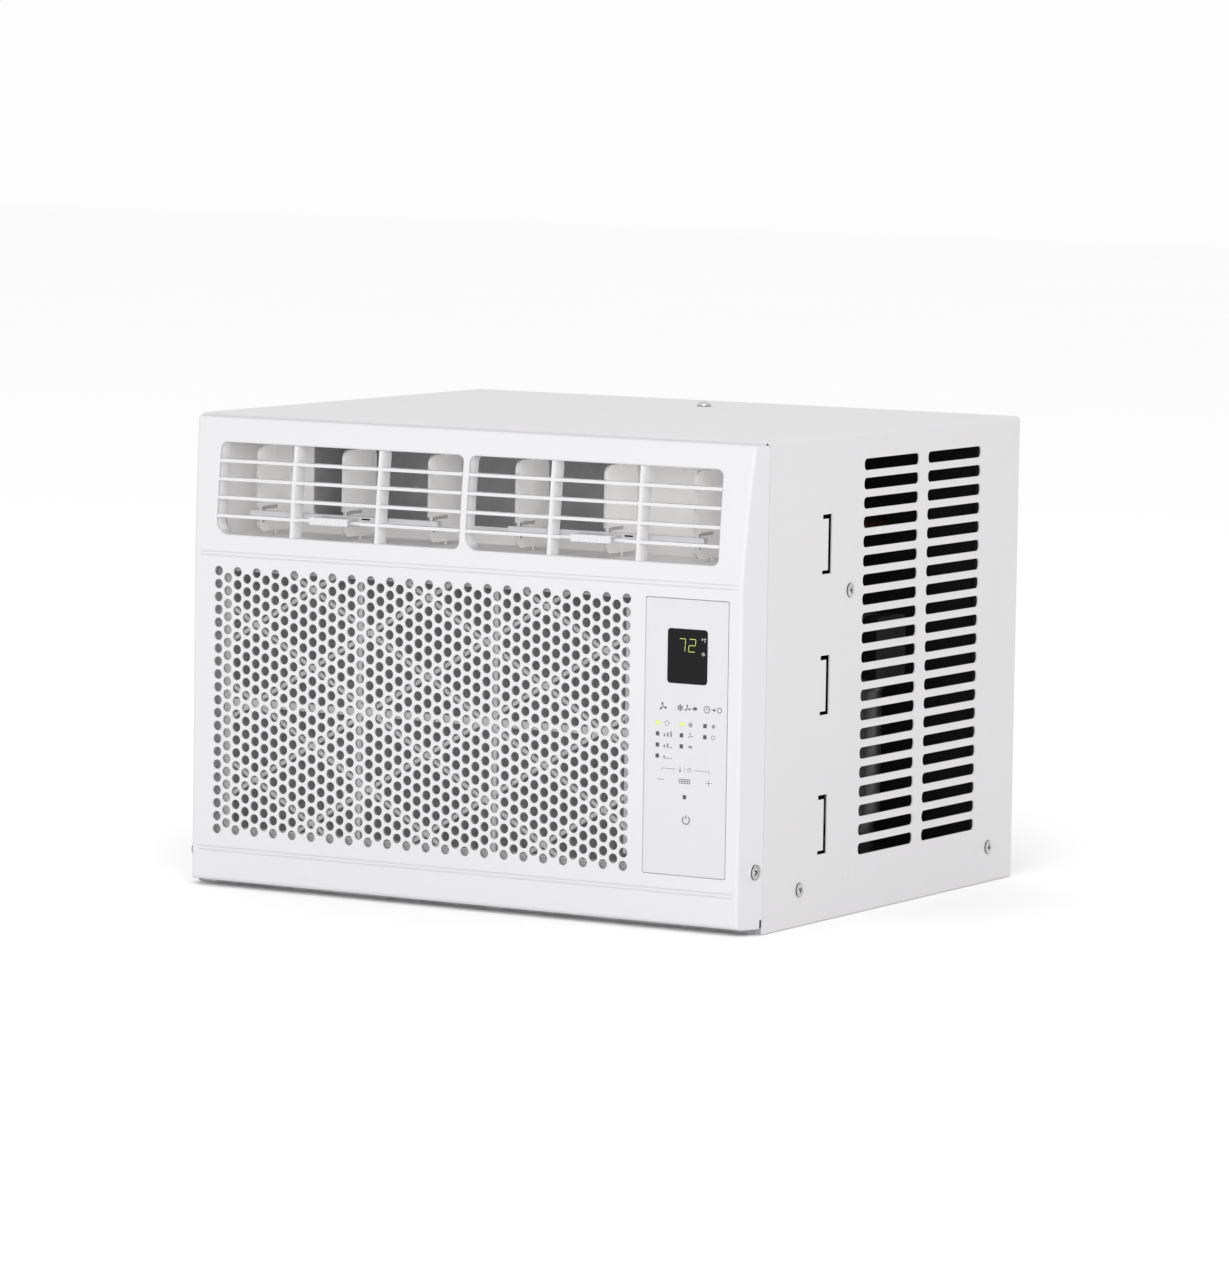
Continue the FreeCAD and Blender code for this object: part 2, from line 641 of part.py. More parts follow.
def air_filter():
    """Filter frame with bars, a lattice of slanting ribs and a pull strip at its left end."""
    (x0, x1), (z0, z1) = FILTER_X, FILTER_Z
    y1 = FILTER_Y0 + FILTER_T - 1
    outline = box(x0, x1, FILTER_Y0, y1, z0, z1)
    opening = box(x0 + FILTER_LEFT_BAR, x1 - FILTER_BAR, FILTER_Y0 - 1, y1 + 1,
                  z0 + FILTER_BAR, z1 - FILTER_BAR)
    frame = [outline.cut(opening)]
    for column in (14, 28):
        x = HOLE_X0 + column * HOLE_PITCH_X - 0.9
        frame.append(box(x - FILTER_UPRIGHT / 2, x + FILTER_UPRIGHT / 2, FILTER_Y0 + 0.2, y1, z0 + 2, z1 - 2))
    low = FILTER_LEVEL_Z - FILTER_LEVEL / 2
    frame.append(box(x0 + 2, x1 - 2, FILTER_Y0 + 0.2, y1, low, low + FILTER_LEVEL))
    frame += slanting_ribs(outline, FALLING_RIB_X, 1)
    frame += slanting_ribs(outline, RISING_RIB_X, -1)
    strip = box(-HALF + 2.6, x0 + 2, FILTER_Y0, y1, z0, z1)
    window = box(-HALF + 6, x0, FILTER_Y0 - 1, y1 + 1, z0 + STRIP_WINDOW, z1 - STRIP_WINDOW)
    grip = box(-HALF + 1.4, -HALF + 3, FILTER_Y0, y1, z0, z1)
    return fuse(frame + [strip.cut(window), grip])


def filter_mesh():
    """Fine net on the back of the filter frame."""
    y0 = FILTER_Y0 + FILTER_T - 1
    return box(FILTER_X[0] + 1, FILTER_X[1] - 1, y0, y0 + 0.6, FILTER_Z[0] + 1, FILTER_Z[1] - 1)


def coil_rows(x_range, y_range, z_range):
    """Y positions and Z positions of the tubes of a two-row coil."""
    depth = y_range[1] - y_range[0]
    ys = [y_range[0] + depth * 0.27, y_range[0] + depth * 0.73]
    count = int((z_range[1] - z_range[0] - 12) / COIL_PITCH) + 1
    count -= count % 2
    first = (z_range[0] + z_range[1]) / 2 - (count - 1) * COIL_PITCH / 2
    return ys, [first + i * COIL_PITCH for i in range(count)]


def coil_tubes(x_range, y_range, z_range):
    """Serpentine copper tube of each row, with return bends outside the end plates."""
    ys, zs = coil_rows(x_range, y_range, z_range)
    bend = COIL_PITCH / 2
    x0, x1 = x_range[0] - 3, x_range[1] + 3
    runs = []
    for y in ys:
        edges = []
        for i, z in enumerate(zs):
            ends = (x0, x1) if i % 2 == 0 else (x1, x0)
            edges.append(Part.LineSegment(V(ends[0], y, z), V(ends[1], y, z)).toShape())
            if i < len(zs) - 1:
                out = bend * 0.55 if i % 2 == 0 else -bend * 0.55
                rim = V(ends[1], y, z)
                top = V(ends[1], y, z + COIL_PITCH)
                edges.append(Part.Arc(rim, V(ends[1] + out * 1.8, y, z + bend), top).toShape())
        path = Part.Wire(edges)
        circle = Part.Wire(Part.makeCircle(COIL_TUBE_R, V(x0, y, zs[0]), V(1, 0, 0)))
        runs.append(path.makePipeShell([circle], True, False))
    return Part.makeCompound(runs)


def coil_holes(x_range, y_range, z_range):
    """Clearance holes for the tubes of a coil."""
    ys, zs = coil_rows(x_range, y_range, z_range)
    length = x_range[1] - x_range[0] + 20
    return Part.makeCompound([rod((x_range[0] - 10, y, z), (1, 0, 0), COIL_TUBE_R + 0.05, length)
                              for y in ys for z in zs])


def coil_fins(x_range, y_range, z_range):
    """Pack of fins of a coil, drilled for its tubes."""
    return box(*x_range, *y_range, *z_range).cut(coil_holes(x_range, y_range, z_range))


def coil_end_plates():
    """Four end plates, one at each end of both coils."""
    plates = []
    for x_range, y_range, z_range in ((EVAP_X, EVAP_Y, EVAP_Z), (COND_X, COND_Y, COND_Z)):
        for x in (x_range[0] - END_PLATE_T, x_range[1]):
            plate = box(x, x + END_PLATE_T, y_range[0] - 0.5, y_range[1] + 0.5, *z_range)
            plates.append(plate.cut(coil_holes(x_range, y_range, z_range)))
    return Part.makeCompound(plates)


def drain_pan():
    """Tray under the evaporator that leads the water to the back."""
    outer = box(-TRAY_HALF, TRAY_HALF, *TRAY_Y, *TRAY_Z)
    inner_half = TRAY_HALF - TRAY_WALL
    hollow = box(-inner_half, inner_half, TRAY_Y[0] + 3, TRAY_Y[1] + 4.5, TRAY_Z[0] + 6, TRAY_Z[1] + 1)
    return outer.cut(hollow)


def spiral_outline(y):
    """Volute: a spiral from the cut-off round under the wheel, then straight up to the outlet."""
    points = []
    start = math.radians(SCROLL_START_ANGLE)
    end = math.radians(SCROLL_END_ANGLE)
    for i in range(SCROLL_STEPS + 1):
        t = i / SCROLL_STEPS
        angle = start + (end - start) * t
        radius = SCROLL_START_R + (SCROLL_END_R - SCROLL_START_R) * t
        points.append(V(FAN_X + radius * math.cos(angle), y, FAN_Z + radius * math.sin(angle)))
    spiral = Part.BSplineCurve()
    spiral.interpolate(points)
    top_left = V(OUTLET_X[0], y, DUCT_Z1)
    top_right = V(OUTLET_X[1], y, DUCT_Z1)
    cut_off = [points[-1], top_left, top_right, V(OUTLET_X[1], y, FAN_Z + 104), points[0]]
    edges = [spiral.toShape()]
    edges += [Part.LineSegment(a, b).toShape() for a, b in zip(cut_off, cut_off[1:])]
    return Part.Wire(edges)


def scroll_housing():
    """Foam block with the volute cut into it from the front."""
    block = box(*SCROLL_X, *SCROLL_Y, *SCROLL_Z)
    cavity = Part.Face(spiral_outline(SCROLL_Y[0])).extrude(V(0, SCROLL_Y[1] - SCROLL_Y[0] - 6, 0))
    shaft_hole = rod((FAN_X, SCROLL_Y[0], FAN_Z), (0, 1, 0), SHAFT_HOLE_R, 100)
    return block.cut(cavity).cut(shaft_hole)


def blower_inlet_ring():
    """Plate with a bell mouth that leads air from the coil into the blower wheel."""
    plate = box(*SCROLL_X, *INLET_RING_Y, TRAY_Z[1] + 2, DUCT_Z0 - DUCT_WALL - 1)
    wide, narrow = INLET_RADII
    mouth = Part.makeCone(wide, narrow, INLET_RING_Y[1] - INLET_RING_Y[0], V(FAN_X, INLET_RING_Y[0], FAN_Z),
                          V(0, 1, 0))
    return plate.cut(mouth)


def partition():
    """Sheet wall between the room side and the outdoor side."""
    plate = box(-HALF + 5, HALF - 5, *PARTITION_Y, 3, HEIGHT - SHEET - 2)
    flange_y = PARTITION_Y[1] + 12
    flanges = [box(-HALF + 5, -HALF + 6, PARTITION_Y[0], flange_y, 20, 330),
               box(HALF - 6, HALF - 5, PARTITION_Y[0], flange_y, 20, 330)]
    pipes = [box(215, 224, PARTITION_Y[0] - 1, PARTITION_Y[1] + 1, 40, 90)]
    shaft_hole = rod((FAN_X, PARTITION_Y[0] - 1, FAN_Z), (0, 1, 0), SHAFT_HOLE_R, 3)
    return fuse([plate] + flanges).cut(shaft_hole).cut(Part.makeCompound(pipes))


def fan_motor():
    """Double-shaft motor: can, two stepped end bells and a bore for the shaft."""
    y0, y1 = MOTOR_Y
    can = rod((FAN_X, y0 + 12, FAN_Z), (0, 1, 0), MOTOR_R, y1 - y0 - 24)
    bells = [rod((FAN_X, y0, FAN_Z), (0, 1, 0), 14, y1 - y0),
             rod((FAN_X, y0 + 5, FAN_Z), (0, 1, 0), MOTOR_R - 6, y1 - y0 - 10)]
    bore = rod((FAN_X, y0 - 1, FAN_Z), (0, 1, 0), SHAFT_R + RUNNING_FIT, y1 - y0 + 2)
    return fuse([can] + bells).cut(bore)


def motor_bracket():
    """Pedestal from the base pan with a curved saddle under the motor."""
    foot = box(FAN_X - 60, FAN_X + 60, -42, 18, PAN_T, PAN_T + 2.5)
    posts = [box(FAN_X - 40, FAN_X + 40, y, y + 2.5, PAN_T, FAN_Z - 10) for y in (-32.0, 6.0)]
    saddle = rod((FAN_X, -32, FAN_Z), (0, 1, 0), MOTOR_R + 3, 40.5)
    saddle = saddle.common(box(FAN_X - 60, FAN_X + 60, -60, 40, 0, FAN_Z - 20))
    relief = rod((FAN_X, -60, FAN_Z), (0, 1, 0), MOTOR_R + 0.1, 120)
    return fuse([foot, saddle] + posts).cut(relief)


def motor_shaft():
    """Shaft through the motor that carries both wheels."""
    return rod((FAN_X, SHAFT_Y[0], FAN_Z), (0, 1, 0), SHAFT_R, SHAFT_Y[1] - SHAFT_Y[0])


def blower_wheel():
    """Centrifugal wheel: back plate, hub, forward-leaning blades and a front rim."""
    y0, y1 = BLOWER_Y
    centre = V(FAN_X, 0, FAN_Z)
    plate = rod((FAN_X, y1 - 2, FAN_Z), (0, 1, 0), BLOWER_R, 2)
    hub = rod((FAN_X, y1 - 24, FAN_Z), (0, 1, 0), 13, 24)
    rim = ring((FAN_X, y0, FAN_Z), (0, 1, 0), BLOWER_R, BLOWER_HOLE_R + 2, 2.5)
    blade = box(BLOWER_HOLE_R + 2.5, BLOWER_R - 0.5, y0 + 1, y1 - 1, -0.6, 0.6)
    blade.rotate(V(BLOWER_R - 8, 0, 0), V(0, 1, 0), 25)
    blade.translate(centre)
    blades = []
    for i in range(BLOWER_BLADES):
        copy = blade.copy()
        copy.rotate(centre, V(0, 1, 0), 360.0 * i / BLOWER_BLADES)
        blades.append(copy)
    return fuse([plate, hub, rim] + blades).cut(rod((FAN_X, y0, FAN_Z), (0, 1, 0), SHAFT_R, 100))


def condenser_fan():
    """Axial fan with five pitched blades and a slinger ring that lifts water from the pan."""
    y0, y1 = COND_FAN_Y
    centre = V(FAN_X, 0, FAN_Z)
    hub = rod((FAN_X, y0, FAN_Z), (0, 1, 0), 26, y1 - y0)
    slinger = ring((FAN_X, y1 - 12, FAN_Z), (0, 1, 0), COND_FAN_R, COND_FAN_R - SLINGER_T, 10)
    blade = box(22, COND_FAN_R - 1, -1.1, 1.1, -30, 30)
    blade.rotate(V(0, 0, 0), V(1, 0, 0), 68)
    blade = blade.common(ring((0, -13, 0), (0, 1, 0), COND_FAN_R - 0.5, 20, 26))
    blade.translate(V(FAN_X, (y0 + y1) / 2, FAN_Z))
    blades = []
    for i in range(COND_BLADES):
        copy = blade.copy()
        copy.rotate(centre, V(0, 1, 0), 360.0 * i / COND_BLADES)
        blades.append(copy)
    return fuse([hub, slinger] + blades).cut(rod((FAN_X, y0 - 1, FAN_Z), (0, 1, 0), SHAFT_R, 100))


def fan_shroud():
    """Plate in front of the condenser with a collar round the axial fan."""
    y0, y1 = SHROUD_Y
    plate = box(-HALF + 6, HALF - 6, y1 - 1.5, y1, 6, HEIGHT - SHEET - 3)
    plate = plate.cut(rod((FAN_X, y0, FAN_Z), (0, 1, 0), SHROUD_R, 60))
    collar = ring((FAN_X, y0, FAN_Z), (0, 1, 0), SHROUD_R + 2, SHROUD_R, y1 - y0)
    top_tab = box(-14, 14, y1 - 12, y1, HEIGHT - SHEET - 4, HEIGHT - SHEET - 2)
    screw_hole = rod((0, TOP_SCREW_Y, HEIGHT - 10), (0, 0, 1), 1.6, 12)
    pipe_hole = rod((COMP_X, y0, DISCHARGE_Z), (0, 1, 0), PIPE_R + 3, 40)
    return fuse([plate, collar, top_tab]).cut(screw_hole).cut(pipe_hole)


def rear_guard():
    """Welded wire guard over the condenser."""
    y = REAR - 6
    z0, z1 = GUARD_Z
    width, height = 2 * GUARD_HALF, z1 - z0
    rise = height / (GUARD_LEVELS - 1)
    stride = (width - 4) / (GUARD_UPRIGHTS - 1)
    wires = [rod((-GUARD_HALF, y, z0 + rise * i), (1, 0, 0), WIRE_R, width) for i in range(GUARD_LEVELS)]
    wires += [rod((2 - GUARD_HALF + stride * i, y + 1.2, z0 - 1), (0, 0, 1), WIRE_R, height + 2)
              for i in range(GUARD_UPRIGHTS)]
    return fuse(wires)


def compressor():
    """Hermetic compressor: drawn shell with domed ends, weld band and base plate, hollow inside."""
    z0, z1 = COMP_Z
    straight = (z0 + 26, z1 - COMP_DOME_H)
    body = rod((COMP_X, COMP_Y, straight[0]), (0, 0, 1), COMP_R, straight[1] - straight[0])
    top = Part.makeSphere(COMP_R, V(0, 0, 0)).common(box(-90, 90, -90, 90, 0, 90))
    squash = FreeCAD.Matrix()
    squash.scale(1, 1, COMP_DOME_H / COMP_R)
    dome = top.transformGeometry(squash)
    dome.translate(V(COMP_X, COMP_Y, straight[1]))
    lower = rod((COMP_X, COMP_Y, z0), (0, 0, 1), COMP_R - 4, 27)
    band = rod((COMP_X, COMP_Y, 150), (0, 0, 1), COMP_R + 1.5, 6)
    base = rod((COMP_X, COMP_Y, z0 - 4), (0, 0, 1), 62, 4)
    ears = [rod((x, y, z0 - 4), (0, 0, 1), 13, 4) for x, y in stud_centres()]
    holes = [rod((x, y, 0), (0, 0, 1), 6.05, 60) for x, y in stud_centres()]
    cavity = rod((COMP_X, COMP_Y, z0 + 3), (0, 0, 1), COMP_R - 8, straight[1] - z0 - 3)
    return fuse([body, dome, lower, band, base] + ears).cut(cavity).cut(Part.makeCompound(holes))


def stud_centres():
    """The three feet of the compressor."""
    angles = [math.radians(90 + 120 * i) for i in range(3)]
    return [(COMP_X + COMP_FOOT_R * math.cos(a), COMP_Y + COMP_FOOT_R * math.sin(a)) for a in angles]


def compressor_grommets():
    """Rubber bushes that carry the compressor feet."""
    bushes = []
    for x, y in stud_centres():
        low = rod((x, y, 6), (0, 0, 1), 11, COMP_Z[0] - 4 - 6)
        neck = rod((x, y, COMP_Z[0] - 5), (0, 0, 1), 6, 8)
        bushes.append(fuse([low, neck]).cut(rod((x, y, 0), (0, 0, 1), STUD_R + 0.05, 60)))
    return Part.makeCompound(bushes)


def compressor_studs():
    """Studs from the base pan with a flange nut on top of each grommet."""
    studs = []
    for x, y in stud_centres():
        stud = rod((x, y, PAN_T), (0, 0, 1), STUD_R, COMP_Z[0] + 8)
        foot = rod((x, y, PAN_T), (0, 0, 1), 8, 4.8)
        nut = Part.makeBox(10, 10, 5, V(x - 5, y - 5, COMP_Z[0] + 3))
        washer = rod((x, y, COMP_Z[0] + 3), (0, 0, 1), 8, 1)
        studs.append(fuse([stud, foot, nut, washer]))
    return Part.makeCompound(studs)


def terminal_cover():
    """Cap over the compressor's electrical terminals."""
    return rounded_block_x(COMP_Y - 22, COMP_Y + 22, 160, 206, 5, COMP_X + COMP_R + 2, COMP_X + COMP_R + 14)


def accumulator():
    """Slim suction bottle beside the compressor."""
    x, y = ACCUMULATOR
    body = rod((x, y, 70), (0, 0, 1), 15, 90)
    caps = [Part.makeCone(15, 5.5, 10, V(x, y, 160)), Part.makeCone(5.5, 15, 10, V(x, y, 60))]
    return fuse([body] + caps)


def suction_pipe():
    """Copper pipe from the evaporator, through the partition, to the accumulator."""
    x, y = ACCUMULATOR
    low, high = 60.0, 250.0
    return pipe([(SUCTION_X, -120, low), (SUCTION_X, SUCTION_Y, low), (SUCTION_X, SUCTION_Y, high),
                 (x, SUCTION_Y, high), (x, y, high), (x, y, 170.2)], PIPE_R, PIPE_BEND)


def discharge_pipe():
    """Copper pipe from the top of the compressor, through the shroud, to the condenser."""
    inlet_z = DISCHARGE_Z + 28
    return pipe([(COMP_X, COMP_Y, COMP_Z[1] + 0.2), (COMP_X, COMP_Y, DISCHARGE_Z),
                 (COMP_X, DISCHARGE_Y, DISCHARGE_Z), (COMP_X, DISCHARGE_Y, inlet_z),
                 (210, DISCHARGE_Y, inlet_z)], PIPE_R, PIPE_BEND)


def filter_drier():
    """Small copper filter bottle between condenser and capillary."""
    x, y = DRIER
    body = rod((x, y, 70), (0, 0, 1), 9, 60)
    caps = [Part.makeCone(9, 3.5, 8, V(x, y, 130)), Part.makeCone(3.5, 9, 8, V(x, y, 62))]
    return fuse([body] + caps)


def capillary_tube():
    """Thin tube wound in a few turns between the drier and the evaporator."""
    x, y = DRIER
    z0, radius, pitch, turns, tube_r = 143, 16, 5, 4, 1.3
    steps = 16
    angles = [2 * math.pi * i / steps for i in range(turns * steps + 1)]
    points = [V(x + radius * math.cos(a), y + radius * math.sin(a), z0 + pitch * a / (2 * math.pi))
              for a in angles]
    coil = Part.BSplineCurve()
    coil.interpolate(points)
    start = coil.tangent(coil.FirstParameter)[0]
    circle = Part.Wire(Part.makeCircle(tube_r, points[0], start))
    return Part.Wire(coil.toShape()).makePipeShell([circle], True, True)


def control_box():
    """Open-backed box behind the control panel for the electrical parts."""
    outer = box(150.5, 212, -178, -66, 62, 246)
    inner = box(152, 210.5, -176.5, -60, 63.5, 244.5)
    return outer.cut(inner)


def main_board():
    """Power board fixed to the inner wall of the control box."""
    board = box(154, 155.6, -172, -74, 76, 236)
    relay = box(155.6, 172, -150, -128, 180, 210)
    transformer = box(155.6, 190, -118, -86, 96, 132)
    return fuse([board, relay, transformer])


def run_capacitor():
    """Oval motor capacitor with two terminals."""
    can = rod((194, -110, 150), (0, 0, 1), 15, 60)
    terminals = [box(x, x + 1, -114, -106, 209, 220) for x in (187.0, 200.0)]
    return fuse([can] + terminals)


def cord_gland():
    """Rubber bush in the bottom wall of the bezel, through which the mains lead leaves."""
    body = box(GLAND_X - GLAND_HALF, GLAND_X + GLAND_HALF, GLAND_Y - GLAND_HALF, GLAND_Y + GLAND_HALF,
               BEZEL_BOTTOM, BEZEL_BOTTOM + GLAND_H)
    body = body.makeFillet(1.2, [e for e in body.Edges if e.BoundBox.ZLength > 1])
    return body.cut(rod((GLAND_X, GLAND_Y, BEZEL_BOTTOM - 1), (0, 0, 1), GLAND_R, GLAND_H + 2))


def base_pan():
    """Drawn steel floor with an upturned rim and stiffening swages."""
    (y0, y1) = PAN_Y
    floor = box(-PAN_HALF, PAN_HALF, y0, y1, 0, PAN_T)
    rims = [
        box(-PAN_HALF, -PAN_HALF + PAN_T, y0, y1, 0, PAN_RIM),
        box(PAN_HALF - PAN_T, PAN_HALF, y0, y1, 0, PAN_RIM),
        box(-PAN_HALF, PAN_HALF, y1 - PAN_T, y1, 0, PAN_BACK_RIM),
        box(-PAN_HALF, PAN_HALF, y0, y0 + PAN_T, 0, PAN_FRONT_RIM),
    ]
    half = SWAGE_W / 2
    swages = [box(-SWAGE_X, SWAGE_X, y - half, y + half, 0, SWAGE_H) for y in SWAGE_Y]
    inner_x = SWAGE_X - PAN_T
    inner_half = half - PAN_T
    hollows = [box(-inner_x, inner_x, y - inner_half, y + inner_half, -1, SWAGE_H - PAN_T) for y in SWAGE_Y]
    return fuse([floor] + rims + swages).cut(Part.makeCompound(hollows))


def side_tab_cuts(x0, x1):
    """Three bracket-shaped lanced cuts; each frees a tab hinged towards the front."""
    cuts = []
    y0, y1 = TAB_CUT_Y
    for top in TAB_CUT_TOPS:
        low = top - TAB_CUT_H
        cuts.append(box(x0, x1, y1 - TAB_SLIT, y1, low, top))
        cuts.append(box(x0, x1, y0, y1, top - TAB_TOP_SLIT, top))
        cuts.append(box(x0, x1, y0, y1, low, low + TAB_LOW_SLIT))
    return cuts


def rounded_back(form, radius):
    """The same block with its edges at the back rounded."""
    back = form.BoundBox.YMax
    return form.makeFillet(radius, [e for e in form.Edges if e.BoundBox.YMin > back - 0.01])


def outer_case():
    """Folded sheet wrapper with rounded bends, louvre slots, a hem along the top front and a back flange."""
    y0, y1 = CASE_FRONT, REAR
    inner_bend = CASE_BEND - SHEET
    wrap = rounded_block_y(-HALF, HALF, -40, HEIGHT, CASE_BEND, y0, y1)
    core = rounded_block_y(-HALF + SHEET, HALF - SHEET, -41, HEIGHT - SHEET, inner_bend, y0 - 1, y1 - SHEET)
    shell = rounded_back(wrap, CASE_BEND - 0.05).cut(rounded_back(core, inner_bend - 0.05))
    shell = shell.cut(box(-HALF - 1, HALF + 1, y0 - 1, y1 + 1, -60, CASE_FLOOR_GAP))
    shell = shell.cut(box(-HALF + 14, HALF - 14, y1 - 5, y1 + 1, 0, HEIGHT - 12))
    hem = box(-HALF, HALF - CASE_BEND, y0, y0 + SHEET, HEIGHT - CASE_HEM, HEIGHT - SHEET / 2)
    shell = fuse([shell, hem.common(wrap)])
    cuts = []
    for side in (-1, 1):
        x0, x1 = sorted((side * (HALF - 4), side * (HALF + 1)))
        for centre in SLOT_CENTRES_Y:
            for row in range(SLOT_ROWS):
                z = SLOT_TOP_Z - row * SLOT_PITCH
                cuts.append(rounded_block_x(centre - SLOT_LEN / 2, centre + SLOT_LEN / 2, z - SLOT_H / 2,
                                            z + SLOT_H / 2, SLOT_R, x0, x1))
        cuts += side_tab_cuts(x0, x1)
        for y, z in SIDE_SCREWS:
            cuts.append(rod((x0, y, z), (1, 0, 0), 2.0, x1 - x0))
    cuts.append(rod((0, TOP_SCREW_Y, HEIGHT - 3), (0, 0, 1), 2.0, 6))
    return shell.cut(Part.makeCompound(cuts))


def screw(place, direction, radius, length):
    """Pan-head screw: place is where the underside of the head sits, radius is that of the head."""
    d = V(*direction)
    p = V(*place)
    head = Part.makeCylinder(radius, 1.6, p, d)
    shank = Part.makeCylinder(1.5, length + 1, p - d * length, d)
    long, wide = SCREW_SLOT
    recess = fuse([Part.makeBox(long, wide, 2, V(-long / 2, -wide / 2, 0)),
                   Part.makeBox(wide, long, 2, V(-wide / 2, -long / 2, 0))])
    recess.Placement = FreeCAD.Placement(p + d * 0.8, FreeCAD.Rotation(V(0, 0, 1), d))
    return fuse([head, shank]).cut(recess)


def cabinet_screws():
    """All the cabinet screws: three on each side, one on the bezel each side, one on top."""
    screws = []
    for side in (-1, 1):
        for y, z in SIDE_SCREWS:
            screws.append(screw((side * HALF, y, z), (side, 0, 0), SIDE_SCREW_R, 4))
        seat = (side * bezel_screw_seat(side), BEZEL_SCREW_Y, BEZEL_SCREW_Z[side])
        screws.append(screw(seat, (side, 0, 0), BEZEL_SCREW_R, 5))
    screws.append(screw((0, TOP_SCREW_Y, HEIGHT), (0, 0, 1), BEZEL_SCREW_R, 4))
    return Part.makeCompound(screws)


def save(name, shape):
    """Write one sub-part and print its size."""
    shape.exportStep("parts/%s.step" % name)
    print("%-22s valid=%s solids=%d volume=%.0f" % (name, shape.isValid(), len(shape.Solids), shape.Volume))


def build():
    """Build and write every sub-part."""
    os.makedirs("parts", exist_ok=True)
    evaporator = (EVAP_X, EVAP_Y, EVAP_Z)
    condenser = (COND_X, COND_Y, COND_Z)
    for make in (front_bezel, intake_grille, discharge_grille, air_duct, control_overlay, display_lens,
                 indicator_leds, display_board, tact_switches, filter_guides, air_filter, filter_mesh,
                 coil_end_plates, drain_pan, scroll_housing, blower_inlet_ring, partition, fan_motor,
                 motor_bracket, motor_shaft, blower_wheel, condenser_fan, fan_shroud, rear_guard, compressor,
                 compressor_grommets, compressor_studs, terminal_cover, accumulator, suction_pipe,
                 discharge_pipe, filter_drier, capillary_tube, control_box, main_board, run_capacitor,
                 cord_gland, base_pan, outer_case, cabinet_screws):
        save(make.__name__, make())
    save("evaporator_fins", coil_fins(*evaporator))
    save("evaporator_tubes", coil_tubes(*evaporator))
    save("condenser_fins", coil_fins(*condenser))
    save("condenser_tubes", coil_tubes(*condenser))
    for side, word in ((-1, "left"), (1, "right")):
        for index in range(3):
            save("%s_vane_%d" % (word, index + 1), vane(vane_x(side, index)))
        save("%s_link_bar" % word, link_bar(side))
    for name, (x, z) in KEYS.items():
        save(name, key_plunger(x, z))


build()
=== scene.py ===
import json
import math
import bmesh
import bpy
from mathutils import Matrix, Vector


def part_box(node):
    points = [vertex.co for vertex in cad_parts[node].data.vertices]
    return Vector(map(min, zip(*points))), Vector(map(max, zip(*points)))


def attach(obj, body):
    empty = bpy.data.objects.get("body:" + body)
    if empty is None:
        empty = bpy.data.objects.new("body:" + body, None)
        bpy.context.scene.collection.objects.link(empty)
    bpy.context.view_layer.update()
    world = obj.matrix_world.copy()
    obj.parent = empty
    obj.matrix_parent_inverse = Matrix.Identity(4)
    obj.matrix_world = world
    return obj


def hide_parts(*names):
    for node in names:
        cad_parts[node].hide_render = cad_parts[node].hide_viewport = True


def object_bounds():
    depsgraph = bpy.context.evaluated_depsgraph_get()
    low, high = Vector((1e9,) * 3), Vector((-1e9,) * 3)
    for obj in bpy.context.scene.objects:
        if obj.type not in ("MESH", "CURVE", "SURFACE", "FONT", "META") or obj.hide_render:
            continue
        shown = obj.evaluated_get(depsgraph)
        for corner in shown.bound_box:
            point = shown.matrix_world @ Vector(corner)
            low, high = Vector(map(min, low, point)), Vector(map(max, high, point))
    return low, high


# Window air conditioner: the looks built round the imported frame. Metres; numbers times MM are millimetres.

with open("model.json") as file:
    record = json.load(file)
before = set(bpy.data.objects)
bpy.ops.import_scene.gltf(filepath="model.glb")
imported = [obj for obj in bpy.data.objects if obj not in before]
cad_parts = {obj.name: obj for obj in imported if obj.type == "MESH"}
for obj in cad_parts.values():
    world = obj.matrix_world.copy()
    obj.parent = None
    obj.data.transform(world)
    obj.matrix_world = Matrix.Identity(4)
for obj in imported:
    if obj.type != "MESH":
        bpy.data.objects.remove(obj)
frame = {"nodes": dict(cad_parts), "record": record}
cad_low, cad_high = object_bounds()
nodes = frame["nodes"]
MM = 0.001
CABINET = "cabinet"


# ---------------------------------------------------------------- materials

def material(name, color, roughness, metallic=0.0, coat=0.0, specular=0.5):
    """New node material; returns (material, node tree, shader node)."""
    made = bpy.data.materials.new(name)
    made.use_nodes = True
    tree = made.node_tree
    shader = tree.nodes["Principled BSDF"]
    shader.inputs["Base Color"].default_value = (*color, 1)
    shader.inputs["Roughness"].default_value = roughness
    shader.inputs["Metallic"].default_value = metallic
    shader.inputs["Coat Weight"].default_value = coat
    shader.inputs["Coat Roughness"].default_value = 0.15
    shader.inputs["Specular IOR Level"].default_value = specular
    return made, tree, shader


def noise(tree, scale, detail=3.0, stretch=(1, 1, 1)):
    """Noise over object coordinates, with a scale in features per metre."""
    where = tree.nodes.new("ShaderNodeTexCoord")
    place = tree.nodes.new("ShaderNodeMapping")
    place.inputs["Scale"].default_value = stretch
    field = tree.nodes.new("ShaderNodeTexNoise")
    field.inputs["Scale"].default_value = scale
    field.inputs["Detail"].default_value = detail
    tree.links.new(where.outputs["Object"], place.inputs["Vector"])
    tree.links.new(place.outputs["Vector"], field.inputs["Vector"])
    return field.outputs["Fac"]


def ramp(tree, value, low, high, start=0.3, end=0.7):
    """Colour ramp between two colours."""
    node = tree.nodes.new("ShaderNodeValToRGB")
    node.color_ramp.elements[0].position = start
    node.color_ramp.elements[1].position = end
    node.color_ramp.elements[0].color = (*low, 1)
    node.color_ramp.elements[1].color = (*high, 1)
    tree.links.new(value, node.inputs["Fac"])
    return node.outputs["Color"]


